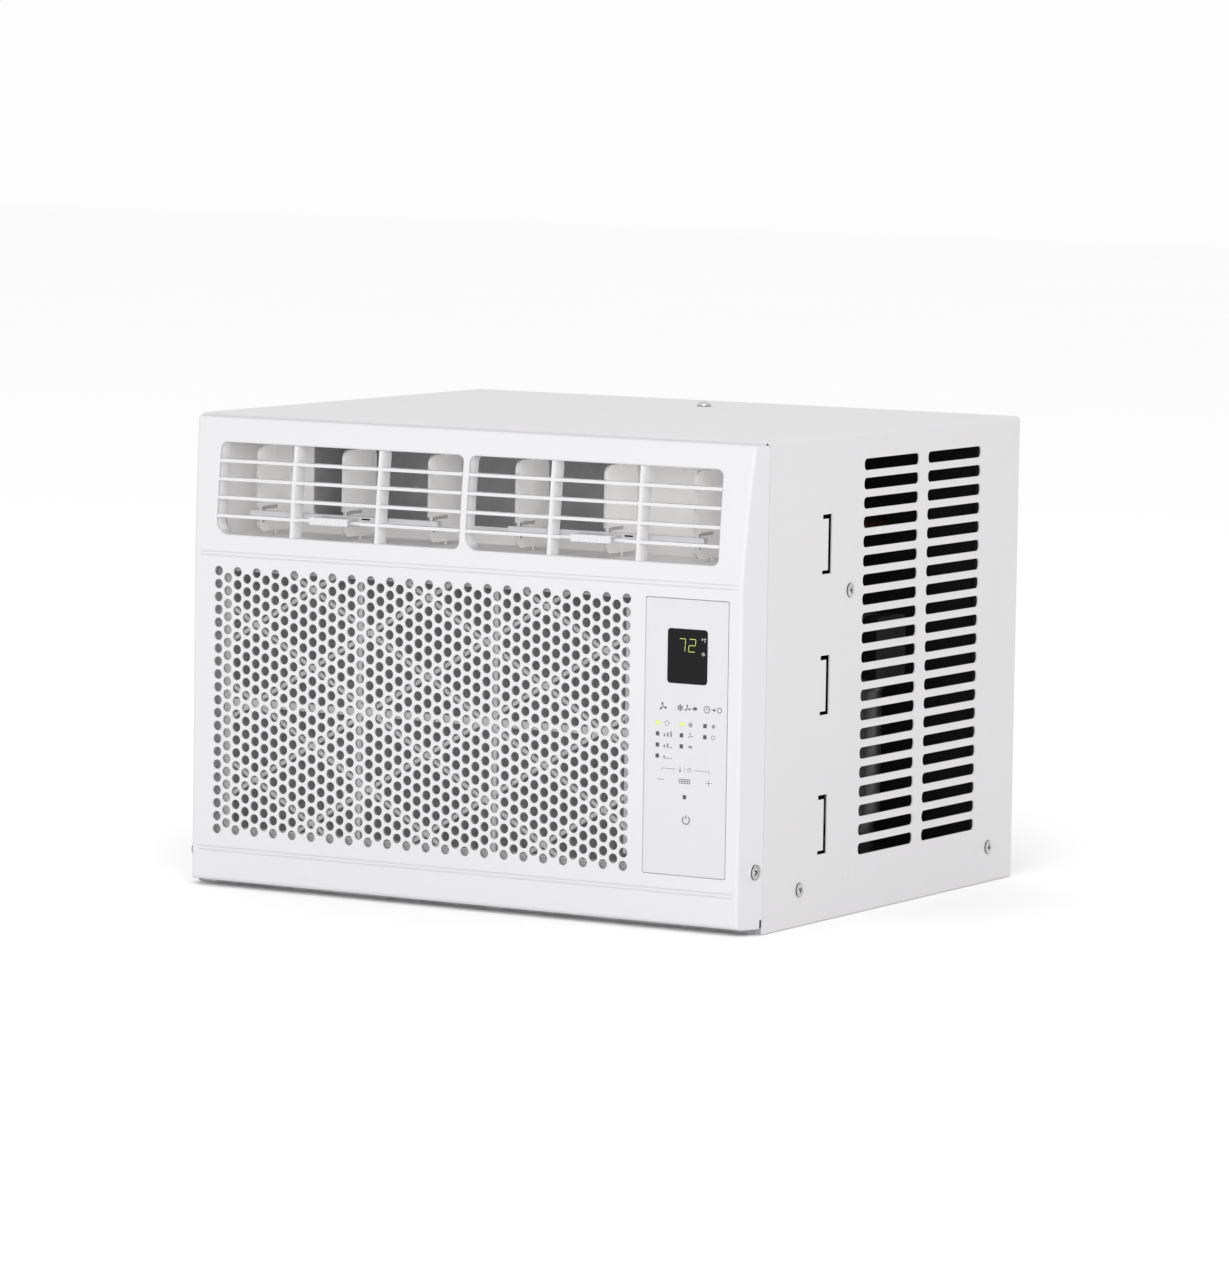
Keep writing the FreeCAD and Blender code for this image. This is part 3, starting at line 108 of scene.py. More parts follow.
def spread(tree, value, low, high):
    """Maps 0.3 to 0.7 of a field on a range of numbers."""
    node = tree.nodes.new("ShaderNodeMapRange")
    for key, number in (("From Min", 0.3), ("From Max", 0.7), ("To Min", low), ("To Max", high)):
        node.inputs[key].default_value = number
    tree.links.new(value, node.inputs["Value"])
    return node.outputs["Result"]


def bump(tree, shader, value, distance):
    """Surface relief of a height in metres."""
    node = tree.nodes.new("ShaderNodeBump")
    node.inputs["Distance"].default_value = distance
    node.inputs["Strength"].default_value = 1.0
    tree.links.new(value, node.inputs["Height"])
    tree.links.new(node.outputs["Normal"], shader.inputs["Normal"])


def tinted(color, factor):
    """A colour made lighter or darker, held below full white."""
    return tuple(min(1.0, c * factor) for c in color)


def surface(name, color, roughness, metallic=0.0, coat=0.0, vary=0.03, patch=14.0, grain=900.0,
            relief=0.00004, specular=0.5, stretch=(1, 1, 1)):
    """Common finish: a slow drift of tone and gloss with a fine grain in relief."""
    made, tree, shader = material(name, color, roughness, metallic, coat, specular)
    drift = noise(tree, patch, 4.0, stretch)
    tone = ramp(tree, drift, tinted(color, 1 - vary), tinted(color, 1 + vary * 0.5))
    tree.links.new(tone, shader.inputs["Base Color"])
    gloss = spread(tree, noise(tree, patch * 5, 2.0, stretch), roughness * 0.9, min(1.0, roughness * 1.12))
    tree.links.new(gloss, shader.inputs["Roughness"])
    bump(tree, shader, noise(tree, grain, 2.0, stretch), relief)
    return made


def paint_light_by_facing(made, across, along, glow=0.0):
    """Paints light and shade by the way a face points: one colour for faces across the width, one for the
    rest, and when asked a painted glow on the faces across the width.
    """
    tree = made.node_tree
    shader = tree.nodes["Principled BSDF"]
    start, end = 0.35, 0.65
    where = tree.nodes.new("ShaderNodeTexCoord")
    parts = tree.nodes.new("ShaderNodeSeparateXYZ")
    tree.links.new(where.outputs["Normal"], parts.inputs["Vector"])
    square = tree.nodes.new("ShaderNodeMath")
    square.operation = "MULTIPLY"
    tree.links.new(parts.outputs["X"], square.inputs[0])
    tree.links.new(parts.outputs["X"], square.inputs[1])
    tone = ramp(tree, square.outputs["Value"], along, across, start, end)
    tree.links.new(tone, shader.inputs["Base Color"])
    # Painted glow: the faces across the width give off light of their own, though the part is no lamp.
    if glow:
        lift = ramp(tree, square.outputs["Value"], (0, 0, 0), (glow, glow, glow), start, end)
        tree.links.new(lift, shader.inputs["Emission Color"])
        shader.inputs["Emission Strength"].default_value = 1.0
    return made


def glowing(name, color, strength):
    """Lit lamp or display segment."""
    made, tree, shader = material(name, color, 0.4)
    glow = ramp(tree, noise(tree, 700, 1.0), tinted(color, 0.9), color)
    tree.links.new(glow, shader.inputs["Base Color"])
    tree.links.new(glow, shader.inputs["Emission Color"])
    shader.inputs["Emission Strength"].default_value = strength
    return made


def zinc(name):
    """Galvanised sheet with a faint spangle."""
    made, tree, shader = material(name, (0.62, 0.63, 0.65), 0.42, 0.85)
    where = tree.nodes.new("ShaderNodeTexCoord")
    cells = tree.nodes.new("ShaderNodeTexVoronoi")
    cells.inputs["Scale"].default_value = 120
    tree.links.new(where.outputs["Object"], cells.inputs["Vector"])
    tone = ramp(tree, cells.outputs["Color"], (0.52, 0.53, 0.55), (0.72, 0.73, 0.74), 0.2, 0.8)
    tree.links.new(tone, shader.inputs["Base Color"])
    tree.links.new(spread(tree, noise(tree, 60), 0.34, 0.5), shader.inputs["Roughness"])
    return made


MOULDED_WHITE = (0.642, 0.638, 0.65)
MATERIALS = {
    "white_plastic": surface("bezel_plastic", MOULDED_WHITE, 0.45, vary=0.006, relief=0.00001,
                             specular=0.35),
    "panel_film": surface("panel_film", (0.609, 0.605, 0.621), 0.4, vary=0.005, relief=0.000004,
                          specular=0.35),
    "smoked_lens": surface("smoked_lens", (0.009, 0.009, 0.01), 0.12, vary=0.1, relief=0.000002,
                           specular=0.12),
    "led": surface("led_off", (0.07, 0.072, 0.08), 0.35, vary=0.1),
    "circuit_board": surface("circuit_board", (0.02, 0.13, 0.06), 0.4, vary=0.25, patch=60),
    "black_plastic": surface("black_plastic", (0.010, 0.010, 0.011), 0.6, vary=0.15, specular=0.15),
    "grey_plastic": surface("duct_plastic", (0.93, 0.92, 0.915), 0.5, vary=0.015),
    # Vanes with painted light: broad faces across the width much lighter than their edges, with a faint
    # painted glow.
    "vane_plastic": paint_light_by_facing(surface("vane_plastic", (0.95, 0.945, 0.94), 0.42, relief=0.00001),
                            (0.95, 0.94, 0.93), (0.62, 0.615, 0.61), 0.10),
    "filter_plastic": surface("filter_plastic", (0.93, 0.925, 0.92), 0.5, vary=0.02),
    "filter_net": surface("filter_net", (0.36, 0.355, 0.355), 0.75, vary=0.1, grain=2500),
    "key_plastic": surface("key_plastic", (0.75, 0.75, 0.76), 0.45, vary=0.02),
    "foam": surface("foam", (0.55, 0.55, 0.56), 0.92, vary=0.08, patch=80, grain=450, relief=0.0003),
    "painted_steel": surface("case_paint", (0.644, 0.634, 0.644), 0.58, vary=0.006, grain=500,
                             relief=0.00001, specular=0.22),
    "zinc_steel": zinc("zinc_sheet"),
    "bright_steel": surface("bright_steel", (0.74, 0.74, 0.74), 0.22, metallic=1.0, vary=0.08, patch=90),
    "black_steel": surface("black_steel", (0.018, 0.018, 0.02), 0.36, coat=0.2, vary=0.2),
    "guard_wire": surface("guard_wire", (0.70, 0.70, 0.71), 0.35, coat=0.2, vary=0.04),
    "copper": surface("copper", (0.72, 0.36, 0.22), 0.3, metallic=1.0, vary=0.25, patch=30),
    "aluminium_fins": surface("fin_aluminium", (0.66, 0.67, 0.69), 0.4, metallic=0.9, vary=0.12, patch=40),
    "rubber": surface("rubber", (0.016, 0.016, 0.017), 0.7, vary=0.2, patch=80, relief=0.0001),
}
# Bezel moulding with painted shade: its faces across the width, the sides, are darker than its front.
BEZEL = paint_light_by_facing(surface("bezel_painted_side_shade", MOULDED_WHITE, 0.45, relief=0.00001, specular=0.35),
                (0.598, 0.594, 0.606), MOULDED_WHITE)
# Grille moulding with painted light: its faces across the width, the walls and mullion sides of its windows,
# are much lighter than its front.
GRILLE_PAINTED_SIDE_LIGHT = paint_light_by_facing(surface("grille_painted_side_light", MOULDED_WHITE, 0.45, relief=0.00001, specular=0.35),
                 (0.93, 0.925, 0.93), MOULDED_WHITE)
FELT = surface("pale_felt", (0.95, 0.95, 0.95), 0.9, vary=0.12, patch=200, grain=1500, relief=0.0002)
# Matt black for inner parts seen through the side slots: painted shade for the dark inside of the case.
MATT_BLACK_INNER_SHADE = surface("matt_black_inner_shade", (0.012, 0.012, 0.013), 0.7, vary=0.2, specular=0.1)
SCREW_METAL = surface("screw_metal", (0.56, 0.56, 0.545), 0.25, metallic=1.0, vary=0.15, patch=250)
# Dark metal of the screw heads: painted shade in the cross recess and round the low rim.
SCREW_PAINTED_SHADE = surface("screw_shade", (0.10, 0.10, 0.095), 0.45, metallic=0.6, vary=0.2, patch=250)
# Grey of the vane slits: painted shade on thin sheets, where the vanes have no real opening.
SLIT_PAINTED_SHADE = surface("vane_slit_painted_shade", (0.60, 0.59, 0.585), 0.6, vary=0.05, patch=80)
LIT = glowing("led_lit", (0.50, 0.56, 0.10), 0.55)
DIGIT_LIT = glowing("digit_lit", (0.42, 0.46, 0.10), 0.65)
COATED = surface("coated_tube", (0.016, 0.016, 0.017), 0.3, coat=0.4, vary=0.2, patch=40)
PRINT_DARK = surface("print_dark", (0.10, 0.10, 0.105), 0.6, vary=0.1, patch=300)
PRINT_LIGHT = surface("print_light", (0.24, 0.24, 0.255), 0.6, vary=0.1, patch=300)
PRINT_WHITE = surface("print_white", (0.62, 0.62, 0.63), 0.6, vary=0.05, patch=300)

for row in frame["record"]["subparts"]:
    mesh = nodes[row["node"]].data
    mesh.materials.clear()
    mesh.materials.append(MATERIALS[row["material_slot"]])
nodes["condenser_tubes"].data.materials[0] = COATED
# The bezel takes its moulding with painted shade on the sides.
nodes["front_bezel"].data.materials[0] = BEZEL
# The grille takes its moulding with painted light on the window walls.
nodes["discharge_grille"].data.materials[0] = GRILLE_PAINTED_SIDE_LIGHT
# Inner parts seen through the side slots are turned matt black as painted shade.
for name in ("fan_shroud", "coil_end_plates", "partition", "motor_bracket", "control_box", "capillary_tube",
             "suction_pipe"):
    nodes[name].data.materials[0] = MATT_BLACK_INNER_SHADE


# ---------------------------------------------------------------- mesh helpers

def piece(name, verts, faces, look, body, slot=None, smooth=False):
    """New mesh object from points in metres, riding on a CAD body."""
    mesh = bpy.data.meshes.new(name)
    mesh.from_pydata([tuple(v) for v in verts], [], faces)
    mesh.validate()
    mesh.materials.append(look)
    if smooth:
        mesh.shade_smooth()
    made = bpy.data.objects.new(name, mesh)
    bpy.context.scene.collection.objects.link(made)
    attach(made, body)
    return made


def tidy_normals(made):
    """Welds the mesh and points its faces outwards."""
    bm = bmesh.new()
    bm.from_mesh(made.data)
    bmesh.ops.remove_doubles(bm, verts=bm.verts, dist=1e-7)
    bmesh.ops.recalc_face_normals(bm, faces=bm.faces)
    bm.to_mesh(made.data)
    bm.free()


def modifier(made, kind, **settings):
    """Adds a modifier with the given settings."""
    added = made.modifiers.new(kind.lower(), kind)
    for key, value in settings.items():
        setattr(added, key, value)


def box_mesh(boxes):
    """Points and faces of several boxes given as (low, high) corners."""
    verts, faces = [], []
    for low, high in boxes:
        base = len(verts)
        verts += [(x, y, z) for x in (low[0], high[0]) for y in (low[1], high[1]) for z in (low[2], high[2])]
        for face in ((0, 1, 3, 2), (4, 6, 7, 5), (0, 4, 5, 1), (2, 3, 7, 6), (0, 2, 6, 4), (1, 5, 7, 3)):
            faces.append(tuple(base + i for i in face))
    return verts, faces


def turned_faces(rings, sides):
    """Faces of a turned form: a middle point, rings of points one after the other, and a flat underside."""
    faces = [(0, 1 + k, 1 + (k + 1) % sides) for k in range(sides)]
    for j in range(rings - 1):
        a, b = 1 + j * sides, 1 + (j + 1) * sides
        for k in range(sides):
            m = (k + 1) % sides
            faces.append((a + k, b + k, b + m, a + m))
    faces.append(tuple(1 + (rings - 1) * sides + k for k in range(sides)))
    return faces


def plate(polygons, y_front, y_back):
    """Flat shapes in the X-Z plane given as point lists, with a thickness along Y."""
    verts, faces = [], []
    for polygon in polygons:
        base, n = len(verts), len(polygon)
        verts += [(x, y_front, z) for x, z in polygon] + [(x, y_back, z) for x, z in polygon]
        faces.append(tuple(range(base, base + n)))
        faces.append(tuple(range(base + 2 * n - 1, base + n - 1, -1)))
        faces += [(base + i, base + n + i, base + n + (i + 1) % n, base + (i + 1) % n) for i in range(n)]
    return verts, faces


# ---------------------------------------------------------------- perforated intake panel

HOLE_R = 3.45 * MM
HOLE_LIP = 0.45 * MM
PITCH = 9.357 * MM
COLUMN_PITCH = PITCH * math.sqrt(3) / 2
HOLE_X0 = -206.6 * MM
HOLE_Z0 = 229.5 * MM
COLUMNS = 43
ROWS = 21
SIDES = 24


def hole_centres():
    """Middles of the holes; every second column is half a pitch lower and one hole shorter."""
    return [(HOLE_X0 + c * COLUMN_PITCH, HOLE_Z0 - (r + (c % 2) / 2) * PITCH)
            for c in range(COLUMNS) for r in range(ROWS - c % 2)]


def intake_panel():
    """Plate with a staggered field of holes, each with a rounded lip, set in hexagonal cells."""
    low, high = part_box("intake_grille")
    front, back = low.y, high.y
    angles = [2 * math.pi * k / SIDES for k in range(SIDES)]
    cell = [PITCH / 2 / math.cos(a % (math.pi / 3) - math.pi / 6) for a in angles]
    rings = [(None, front), (HOLE_R + HOLE_LIP, front)]
    for turn in (30, 60, 90):
        t = math.radians(turn)
        rings.append((HOLE_R + HOLE_LIP * (1 - math.sin(t)), front + HOLE_LIP * (1 - math.cos(t))))
    rings += [(HOLE_R, back), (None, back)]
    verts, faces = [], []
    for cx, cz in hole_centres():
        base = len(verts)
        for radius, y in rings:
            for k, a in enumerate(angles):
                r = cell[k] if radius is None else radius
                verts.append((cx + r * math.cos(a), y, cz + r * math.sin(a)))
        for j in range(len(rings) - 1):
            for k in range(SIDES):
                m = (k + 1) % SIDES
                faces.append((base + j * SIDES + k, base + j * SIDES + m,
                              base + (j + 1) * SIDES + m, base + (j + 1) * SIDES + k))
    made = piece("intake_panel", verts, faces, MATERIALS["white_plastic"], CABINET, "white_plastic")
    bm = bmesh.new()
    bm.from_mesh(made.data)
    bmesh.ops.remove_doubles(bm, verts=bm.verts, dist=2e-6)
    for y in (front, back):
        rim = [e for e in bm.edges if e.is_boundary and all(abs(v.co.y - y) < 1e-6 for v in e.verts)]
        outline = ((low.x, low.z), (high.x, low.z), (high.x, high.z), (low.x, high.z))
        corners = [bm.verts.new((x, y, z)) for x, z in outline]
        rim += [bm.edges.new((corners[i], corners[(i + 1) % 4])) for i in range(4)]
        bmesh.ops.triangle_fill(bm, use_beauty=True, use_dissolve=False, edges=rim)
    bmesh.ops.recalc_face_normals(bm, faces=bm.faces)
    for face in bm.faces:
        face.smooth = abs(face.normal.y) < 0.98
    bm.to_mesh(made.data)
    bm.free()
    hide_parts("intake_grille")


intake_panel()


# ---------------------------------------------------------------- filter net, coil fins and seals

FELT_LEFT = 19 * MM
FELT_RIGHT = 12.8 * MM
FELT_END = 10 * MM
FIN_PITCH = 1.9 * MM
FIN_T = 0.18 * MM


def filter_net():
    """Woven net of crossing strands, with a pale felt strip at each end."""
    low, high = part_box("filter_mesh")
    low.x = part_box("air_filter")[0].x + 4 * MM
    pitch, width, depth = 0.95 * MM, 0.34 * MM, 0.22 * MM
    boxes = []
    for i in range(int((high.x - low.x) / pitch)):
        x = low.x + (i + 0.5) * pitch
        boxes.append(((x - width / 2, low.y, low.z), (x + width / 2, low.y + depth, high.z)))
    for i in range(int((high.z - low.z) / pitch)):
        z = low.z + (i + 0.5) * pitch
        boxes.append(((low.x, low.y + depth * 0.7, z - width / 2),
                      (high.x, low.y + depth * 1.7, z + width / 2)))
    made = piece("filter_net", *box_mesh(boxes), MATERIALS["filter_net"], "filter_cassette", "filter_net")
    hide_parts("filter_mesh")
    front, z0, z1 = low.y - 0.1 * MM, low.z + FELT_END, high.z - FELT_END
    felts = [((x0, front, z0), (x1, front + 0.4 * MM, z1))
             for x0, x1 in ((low.x, low.x + FELT_LEFT), (high.x - FELT_RIGHT, high.x - 2 * MM))]
    backing = piece("filter_felt", *box_mesh(felts), FELT, "filter_cassette", "filter_net")
    modifier(backing, "BEVEL", width=0.1 * MM, segments=2)


filter_net()


def fin_pack(node, name):
    """Thin fins of a coil, one beside the other along its length."""
    low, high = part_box(node)
    count = int((high.x - low.x) / FIN_PITCH)
    step = (high.x - low.x) / count
    boxes = []
    for i in range(count):
        x = low.x + (i + 0.5) * step
        boxes.append(((x - FIN_T / 2, low.y, low.z), (x + FIN_T / 2, high.y, high.z)))
    made = piece(name, *box_mesh(boxes), MATERIALS["aluminium_fins"], CABINET, "aluminium_fins")
    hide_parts(node)


fin_pack("condenser_fins", "condenser_fin_pack")
fin_pack("evaporator_fins", "evaporator_fin_pack")


def edge_seals():
    """Foam strips that close the gap between the fan shroud and the case on both sides, matt black as painted
    shade.
    """
    low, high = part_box("fan_shroud")
    steps, sides = 24, 10
    for side, word in ((-1, "left"), (1, "right")):
        verts, faces = [], []
        start = low.x if side < 0 else high.x
        for i in range(steps + 1):
            z = low.z + (high.z - low.z) * i / steps
            for k in range(sides):
                t = math.radians(360 / sides * k)
                x = start + side * (2.6 + 2.3 * math.cos(t)) * MM
                verts.append((x, high.y - 3.2 * MM + 2.4 * MM * math.sin(t), z))
        for base in range(0, steps * sides, sides):
            faces += [(base + k, base + (k + 1) % sides, base + sides + (k + 1) % sides, base + sides + k)
                      for k in range(sides)]
        faces += [tuple(range(sides)), tuple(range(steps * sides, (steps + 1) * sides))]
        made = piece("edge_seal_" + word, verts, faces, MATT_BLACK_INNER_SHADE, CABINET, "foam", smooth=True)
        tidy_normals(made)


edge_seals()


# ---------------------------------------------------------------- control panel

FILM_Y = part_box("control_overlay")[0].y
LENS_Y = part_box("display_lens")[0].y
PRINT_T = 0.03 * MM
LED_COLUMNS = ((160.0, 4), (179.1, 3), (197.7, 2))
LED_ROWS = (144.8, 137.1, 129.4, 121.7)
FILTER_LED = (182.2, 94.2)
LED_HALF = 1.4 * MM
HEAD_Z = 156.3
BRACKET_Z = 113.3


def stroke(ax, az, bx, bz, width):
    """Straight bar between two points."""
    length = math.hypot(bx - ax, bz - az)
    nx, nz = -(bz - az) / length * width / 2, (bx - ax) / length * width / 2
    return [[(ax + nx, az + nz), (bx + nx, bz + nz), (bx - nx, bz - nz), (ax - nx, az - nz)]]


def disc(cx, cz, radius, sides=20):
    """Filled circle."""
    angles = [2 * math.pi * i / sides for i in range(sides)]
    return [[(cx + radius * math.cos(a), cz + radius * math.sin(a)) for a in angles]]


def arc(cx, cz, radius, start, end, width, steps=20):
    """Curved bar between two angles in degrees."""
    shapes = []
    for i in range(steps):
        a0 = math.radians(start + (end - start) * i / steps)
        a1 = math.radians(start + (end - start) * (i + 1) / steps)
        inner, outer = radius - width / 2, radius + width / 2
        shapes.append([(cx + inner * math.cos(a0), cz + inner * math.sin(a0)),
                       (cx + outer * math.cos(a0), cz + outer * math.sin(a0)),
                       (cx + outer * math.cos(a1), cz + outer * math.sin(a1)),
                       (cx + inner * math.cos(a1), cz + inner * math.sin(a1))])
    return shapes


def rotor_mark(cx, cz, r):
    """Three curved blades round a hub."""
    shapes = disc(cx, cz, r * 0.2)
    blade = ((0.15, 0.0), (0.45, 0.32), (0.85, 0.42), (1.0, 0.12), (0.85, -0.12), (0.5, -0.1))
    for i in range(3):
        turn = math.radians(90 + 120 * i)
        outline = []
        for along, across in blade:
            x, z = along * r, across * r
            outline.append((cx + x * math.cos(turn) - z * math.sin(turn),
                            cz + x * math.sin(turn) + z * math.cos(turn)))
        shapes.append(outline)
    return shapes


def snow_mark(cx, cz, r, width):
    """Six arms, each with a pair of side twigs."""
    shapes = []
    for i in range(3):
        a = math.radians(90 + 60 * i)
        dx, dz = math.cos(a), math.sin(a)
        shapes += stroke(cx - r * dx, cz - r * dz, cx + r * dx, cz + r * dz, width)
        for sign in (-1, 1):
            for side in (-1, 1):
                b = a + side * math.radians(50)
                px, pz = cx + sign * r * 0.55 * dx, cz + sign * r * 0.55 * dz
                reach = sign * r * 0.36
                shapes += stroke(px, pz, px + reach * math.cos(b), pz + reach * math.sin(b), width)
    return shapes


def leaf_mark(cx, cz, r, width):
    """Pointed oval with a stalk."""
    side = [(math.cos(math.radians(a)), math.sin(math.radians(a))) for a in range(35, 146, 10)]
    upper = [(cx + r * 1.2 * x, cz + r * (z - 0.57) * 1.5) for x, z in side]
    lower = [(cx + r * 1.2 * x, cz - r * (z - 0.57) * 1.5) for x, z in reversed(side)]
    return [upper + lower] + stroke(cx - r * 1.4, cz - r * 0.25, cx - r * 0.7, cz, width)


def clock_mark(cx, cz, r, width):
    """Ring with two hands."""
    return (arc(cx, cz, r, 0, 360, width) + stroke(cx, cz - width / 2, cx, cz + r * 0.65, width)
            + stroke(cx - width / 2, cz, cx + r * 0.5, cz, width))


def cycle_mark(cx, cz, r, width):
    """Open ring that ends in an arrow head."""
    head = [(cx + r * 1.45, cz + r * 0.1), (cx + r * 0.55, cz + r * 0.1), (cx + r, cz - r * 0.65)]
    return arc(cx, cz, r, 10, 310, width) + [head]


def level_mark(cx, cz, lit):
    """Rising bars, of which some are full and the others short."""
    shapes = []
    for i in range(3):
        x = cx - 2.6 + 2.6 * i
        top = (1.2 + 0.9 * (i + 1)) if i < lit else 0.8
        shapes += stroke(x, cz - 1.7, x, cz - 1.7 + top, 1.5)
    return shapes


def power_mark(cx, cz, r, width):
    """Ring open at the top, with an upright bar in the gap."""
    return arc(cx, cz, r, 125, 415, width) + stroke(cx, cz + r * 0.15, cx, cz + r * 1.25, width)


def grid_mark(cx, cz, half_x, half_z, width):
    """Four by two cells, for the filter."""
    shapes = []
    for i in range(5):
        x = cx - half_x + half_x * i / 2
        shapes += stroke(x, cz - half_z, x, cz + half_z, width)
    for i in range(3):
        z = cz - half_z + half_z * i
        shapes += stroke(cx - half_x - width / 2, z, cx + half_x + width / 2, z, width)
    return shapes


def thermometer_mark(cx, cz, r, width):
    """Bulb under a thin tube."""
    return disc(cx, cz - r * 0.6, r * 0.42) + stroke(cx, cz - r * 0.6, cx, cz + r, width * 1.4)


def printed(name, polygons, look, y):
    """Ink of the cabinet's panel: flat shapes given in millimetres, on a surface that faces the room."""
    shapes = [[(x * MM, z * MM) for x, z in polygon] for polygon in polygons]
    piece(name, *plate(shapes, y - PRINT_T, y + PRINT_T), look, CABINET)


def panel_print():
    """Generic pictograms in place of words: functions, levels, temperature, filter and power."""
    bold, fine = 0.55, 0.4
    marks = rotor_mark(164.0, HEAD_Z - 0.1, 3.1)
    marks += snow_mark(177.8, HEAD_Z - 0.1, 2.5, 0.5) + rotor_mark(183.6, HEAD_Z - 0.1, 2.6)
    marks += leaf_mark(189.6, HEAD_Z - 0.1, 1.9, 0.5)
    marks += clock_mark(199.0, HEAD_Z, 2.3, bold) + stroke(202.6, HEAD_Z, 204.6, HEAD_Z, bold)
    marks += [[(204.4, HEAD_Z + 1.3), (204.4, HEAD_Z - 1.3), (206.4, HEAD_Z)]]
    marks += arc(209.0, HEAD_Z, 1.7, 0, 360, bold)
    marks += power_mark(183.7, 78.3, 2.8, 0.75)
    marks += grid_mark(182.0, 105.2, 4.2, 1.4, 0.42)
    printed("panel_print_dark", marks, PRINT_DARK, FILM_Y)
    first, second, third = LED_ROWS[:3]
    small = cycle_mark(167.4, first, 1.6, 0.5)
    for lit, z in zip((3, 2, 1), LED_ROWS[1:]):
        small += level_mark(168.2, z, lit)
    small += snow_mark(186.2, first, 1.9, 0.42) + rotor_mark(186.2, second, 2.1)
    small += leaf_mark(186.4, third, 1.7, 0.5)
    small += disc(204.4, first, 1.4) + arc(204.4, second, 1.4, 0, 360, bold)
    small += stroke(160.2, 105.4, 165.8, 105.4, 0.45)
    small += stroke(198.6, 105.2, 203.8, 105.2, 0.45) + stroke(201.2, 102.8, 201.2, 107.6, 0.45)
    small += stroke(163.4, 111.6, 163.9, 113.4, fine) + stroke(163.8, BRACKET_Z, 174.6, BRACKET_Z, fine)
    small += stroke(189.6, BRACKET_Z, 201.4, BRACKET_Z, fine) + stroke(201.3, 113.4, 201.9, 111.6, fine)
    small += thermometer_mark(178.4, BRACKET_Z, 1.9, fine) + stroke(182.1, 111.6, 182.1, 115.0, 0.3)
    small += clock_mark(185.8, BRACKET_Z, 1.4, 0.35)
    printed("panel_print_light", small, PRINT_LIGHT, FILM_Y)


panel_print()

SEGMENTS = {"7": "abc", "2": "abged"}
DIGIT_Z = 199.9
DIGIT_SLANT = 0.07


def digit(cx, half_x, shown):
    """Seven-segment figure of thin pointed bars."""
    cz, half_z, width = DIGIT_Z, 4.4, 0.46
    x0, x1, z0, z1 = cx - half_x, cx + half_x, cz - half_z, cz + half_z
    ends = {"a": (x0, z1, x1, z1), "b": (x1, z1, x1, cz), "c": (x1, cz, x1, z0), "d": (x0, z0, x1, z0),
            "e": (x0, cz, x0, z0), "f": (x0, z1, x0, cz), "g": (x0, cz, x1, cz)}
    shapes = []
    for key in shown:
        ax, az, bx, bz = ends[key]
        length = math.hypot(bx - ax, bz - az)
        ux, uz = (bx - ax) / length, (bz - az) / length
        gap = width * 0.35
        ax, az, bx, bz = ax + ux * gap, az + uz * gap, bx - ux * gap, bz - uz * gap
        h = width / 2
        outline = [(ax, az), (ax + ux * h - uz * h, az + uz * h + ux * h),
                   (bx - ux * h - uz * h, bz - uz * h + ux * h), (bx, bz),
                   (bx - ux * h + uz * h, bz - uz * h - ux * h), (ax + ux * h + uz * h, az + uz * h - ux * h)]
        shapes.append([(x + (z - cz) * DIGIT_SLANT, z) for x, z in outline])
    return shapes


def display():
    """Reading of the display with two small generic marks beside it."""
    digits = digit(178.7, 2.4, SEGMENTS["7"]) + digit(186.6, 2.6, SEGMENTS["2"])
    printed("display_digits", digits, DIGIT_LIT, LENS_Y)
    marks = arc(194.6, 204.6, 0.5, 0, 360, 0.3) + stroke(195.8, 205.0, 197.6, 205.0, 0.4)
    marks += stroke(196.7, 205.0, 196.7, 202.7, 0.4) + clock_mark(195.6, 194.4, 1.0, 0.35)
    printed("display_marks", marks, PRINT_WHITE, LENS_Y)


display()


def lamps():
    """Square light guides: the first of the fan and mode columns are lit."""
    low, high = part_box("indicator_leds")
    spots = [(x, z, i == 0 and count > 2) for x, count in LED_COLUMNS for i, z in enumerate(LED_ROWS[:count])]
    spots.append((*FILTER_LED, False))
    for i, (x, z, lit) in enumerate(spots):
        cx, cz = x * MM, z * MM
        corners = ((cx - LED_HALF, low.y, cz - LED_HALF), (cx + LED_HALF, high.y, cz + LED_HALF))
        look = LIT if lit else MATERIALS["led"]
        made = piece("lamp_%d" % (i + 1), *box_mesh([corners]), look, CABINET, "led")
        modifier(made, "BEVEL", width=0.25 * MM, segments=2)
        if i == 0:
            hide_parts("indicator_leds")


lamps()


# ---------------------------------------------------------------- screws and small relief

SIDE_X = 235.0
SIDE_HEAD_R = 5.0 * MM
BEZEL_HEAD_R = 5.2 * MM
HEAD_H = 1.6 * MM
TOP_HEAD_H = 3.4 * MM
SIDE_SCREWS = ((-128.3, 25.9), (-61.3, 231.6), (159.6, 26.0))
BEZEL_SCREWS = ((-1, 232.46, 24.2), (1, 231.8, 44.2))
BEZEL_SCREW_Y = -187.0
TOP_SCREW = (2.6, 135.5, 342.0)
RECESS_DEPTH = 1.15 * MM
RECESS_REACH = 2.7 * MM


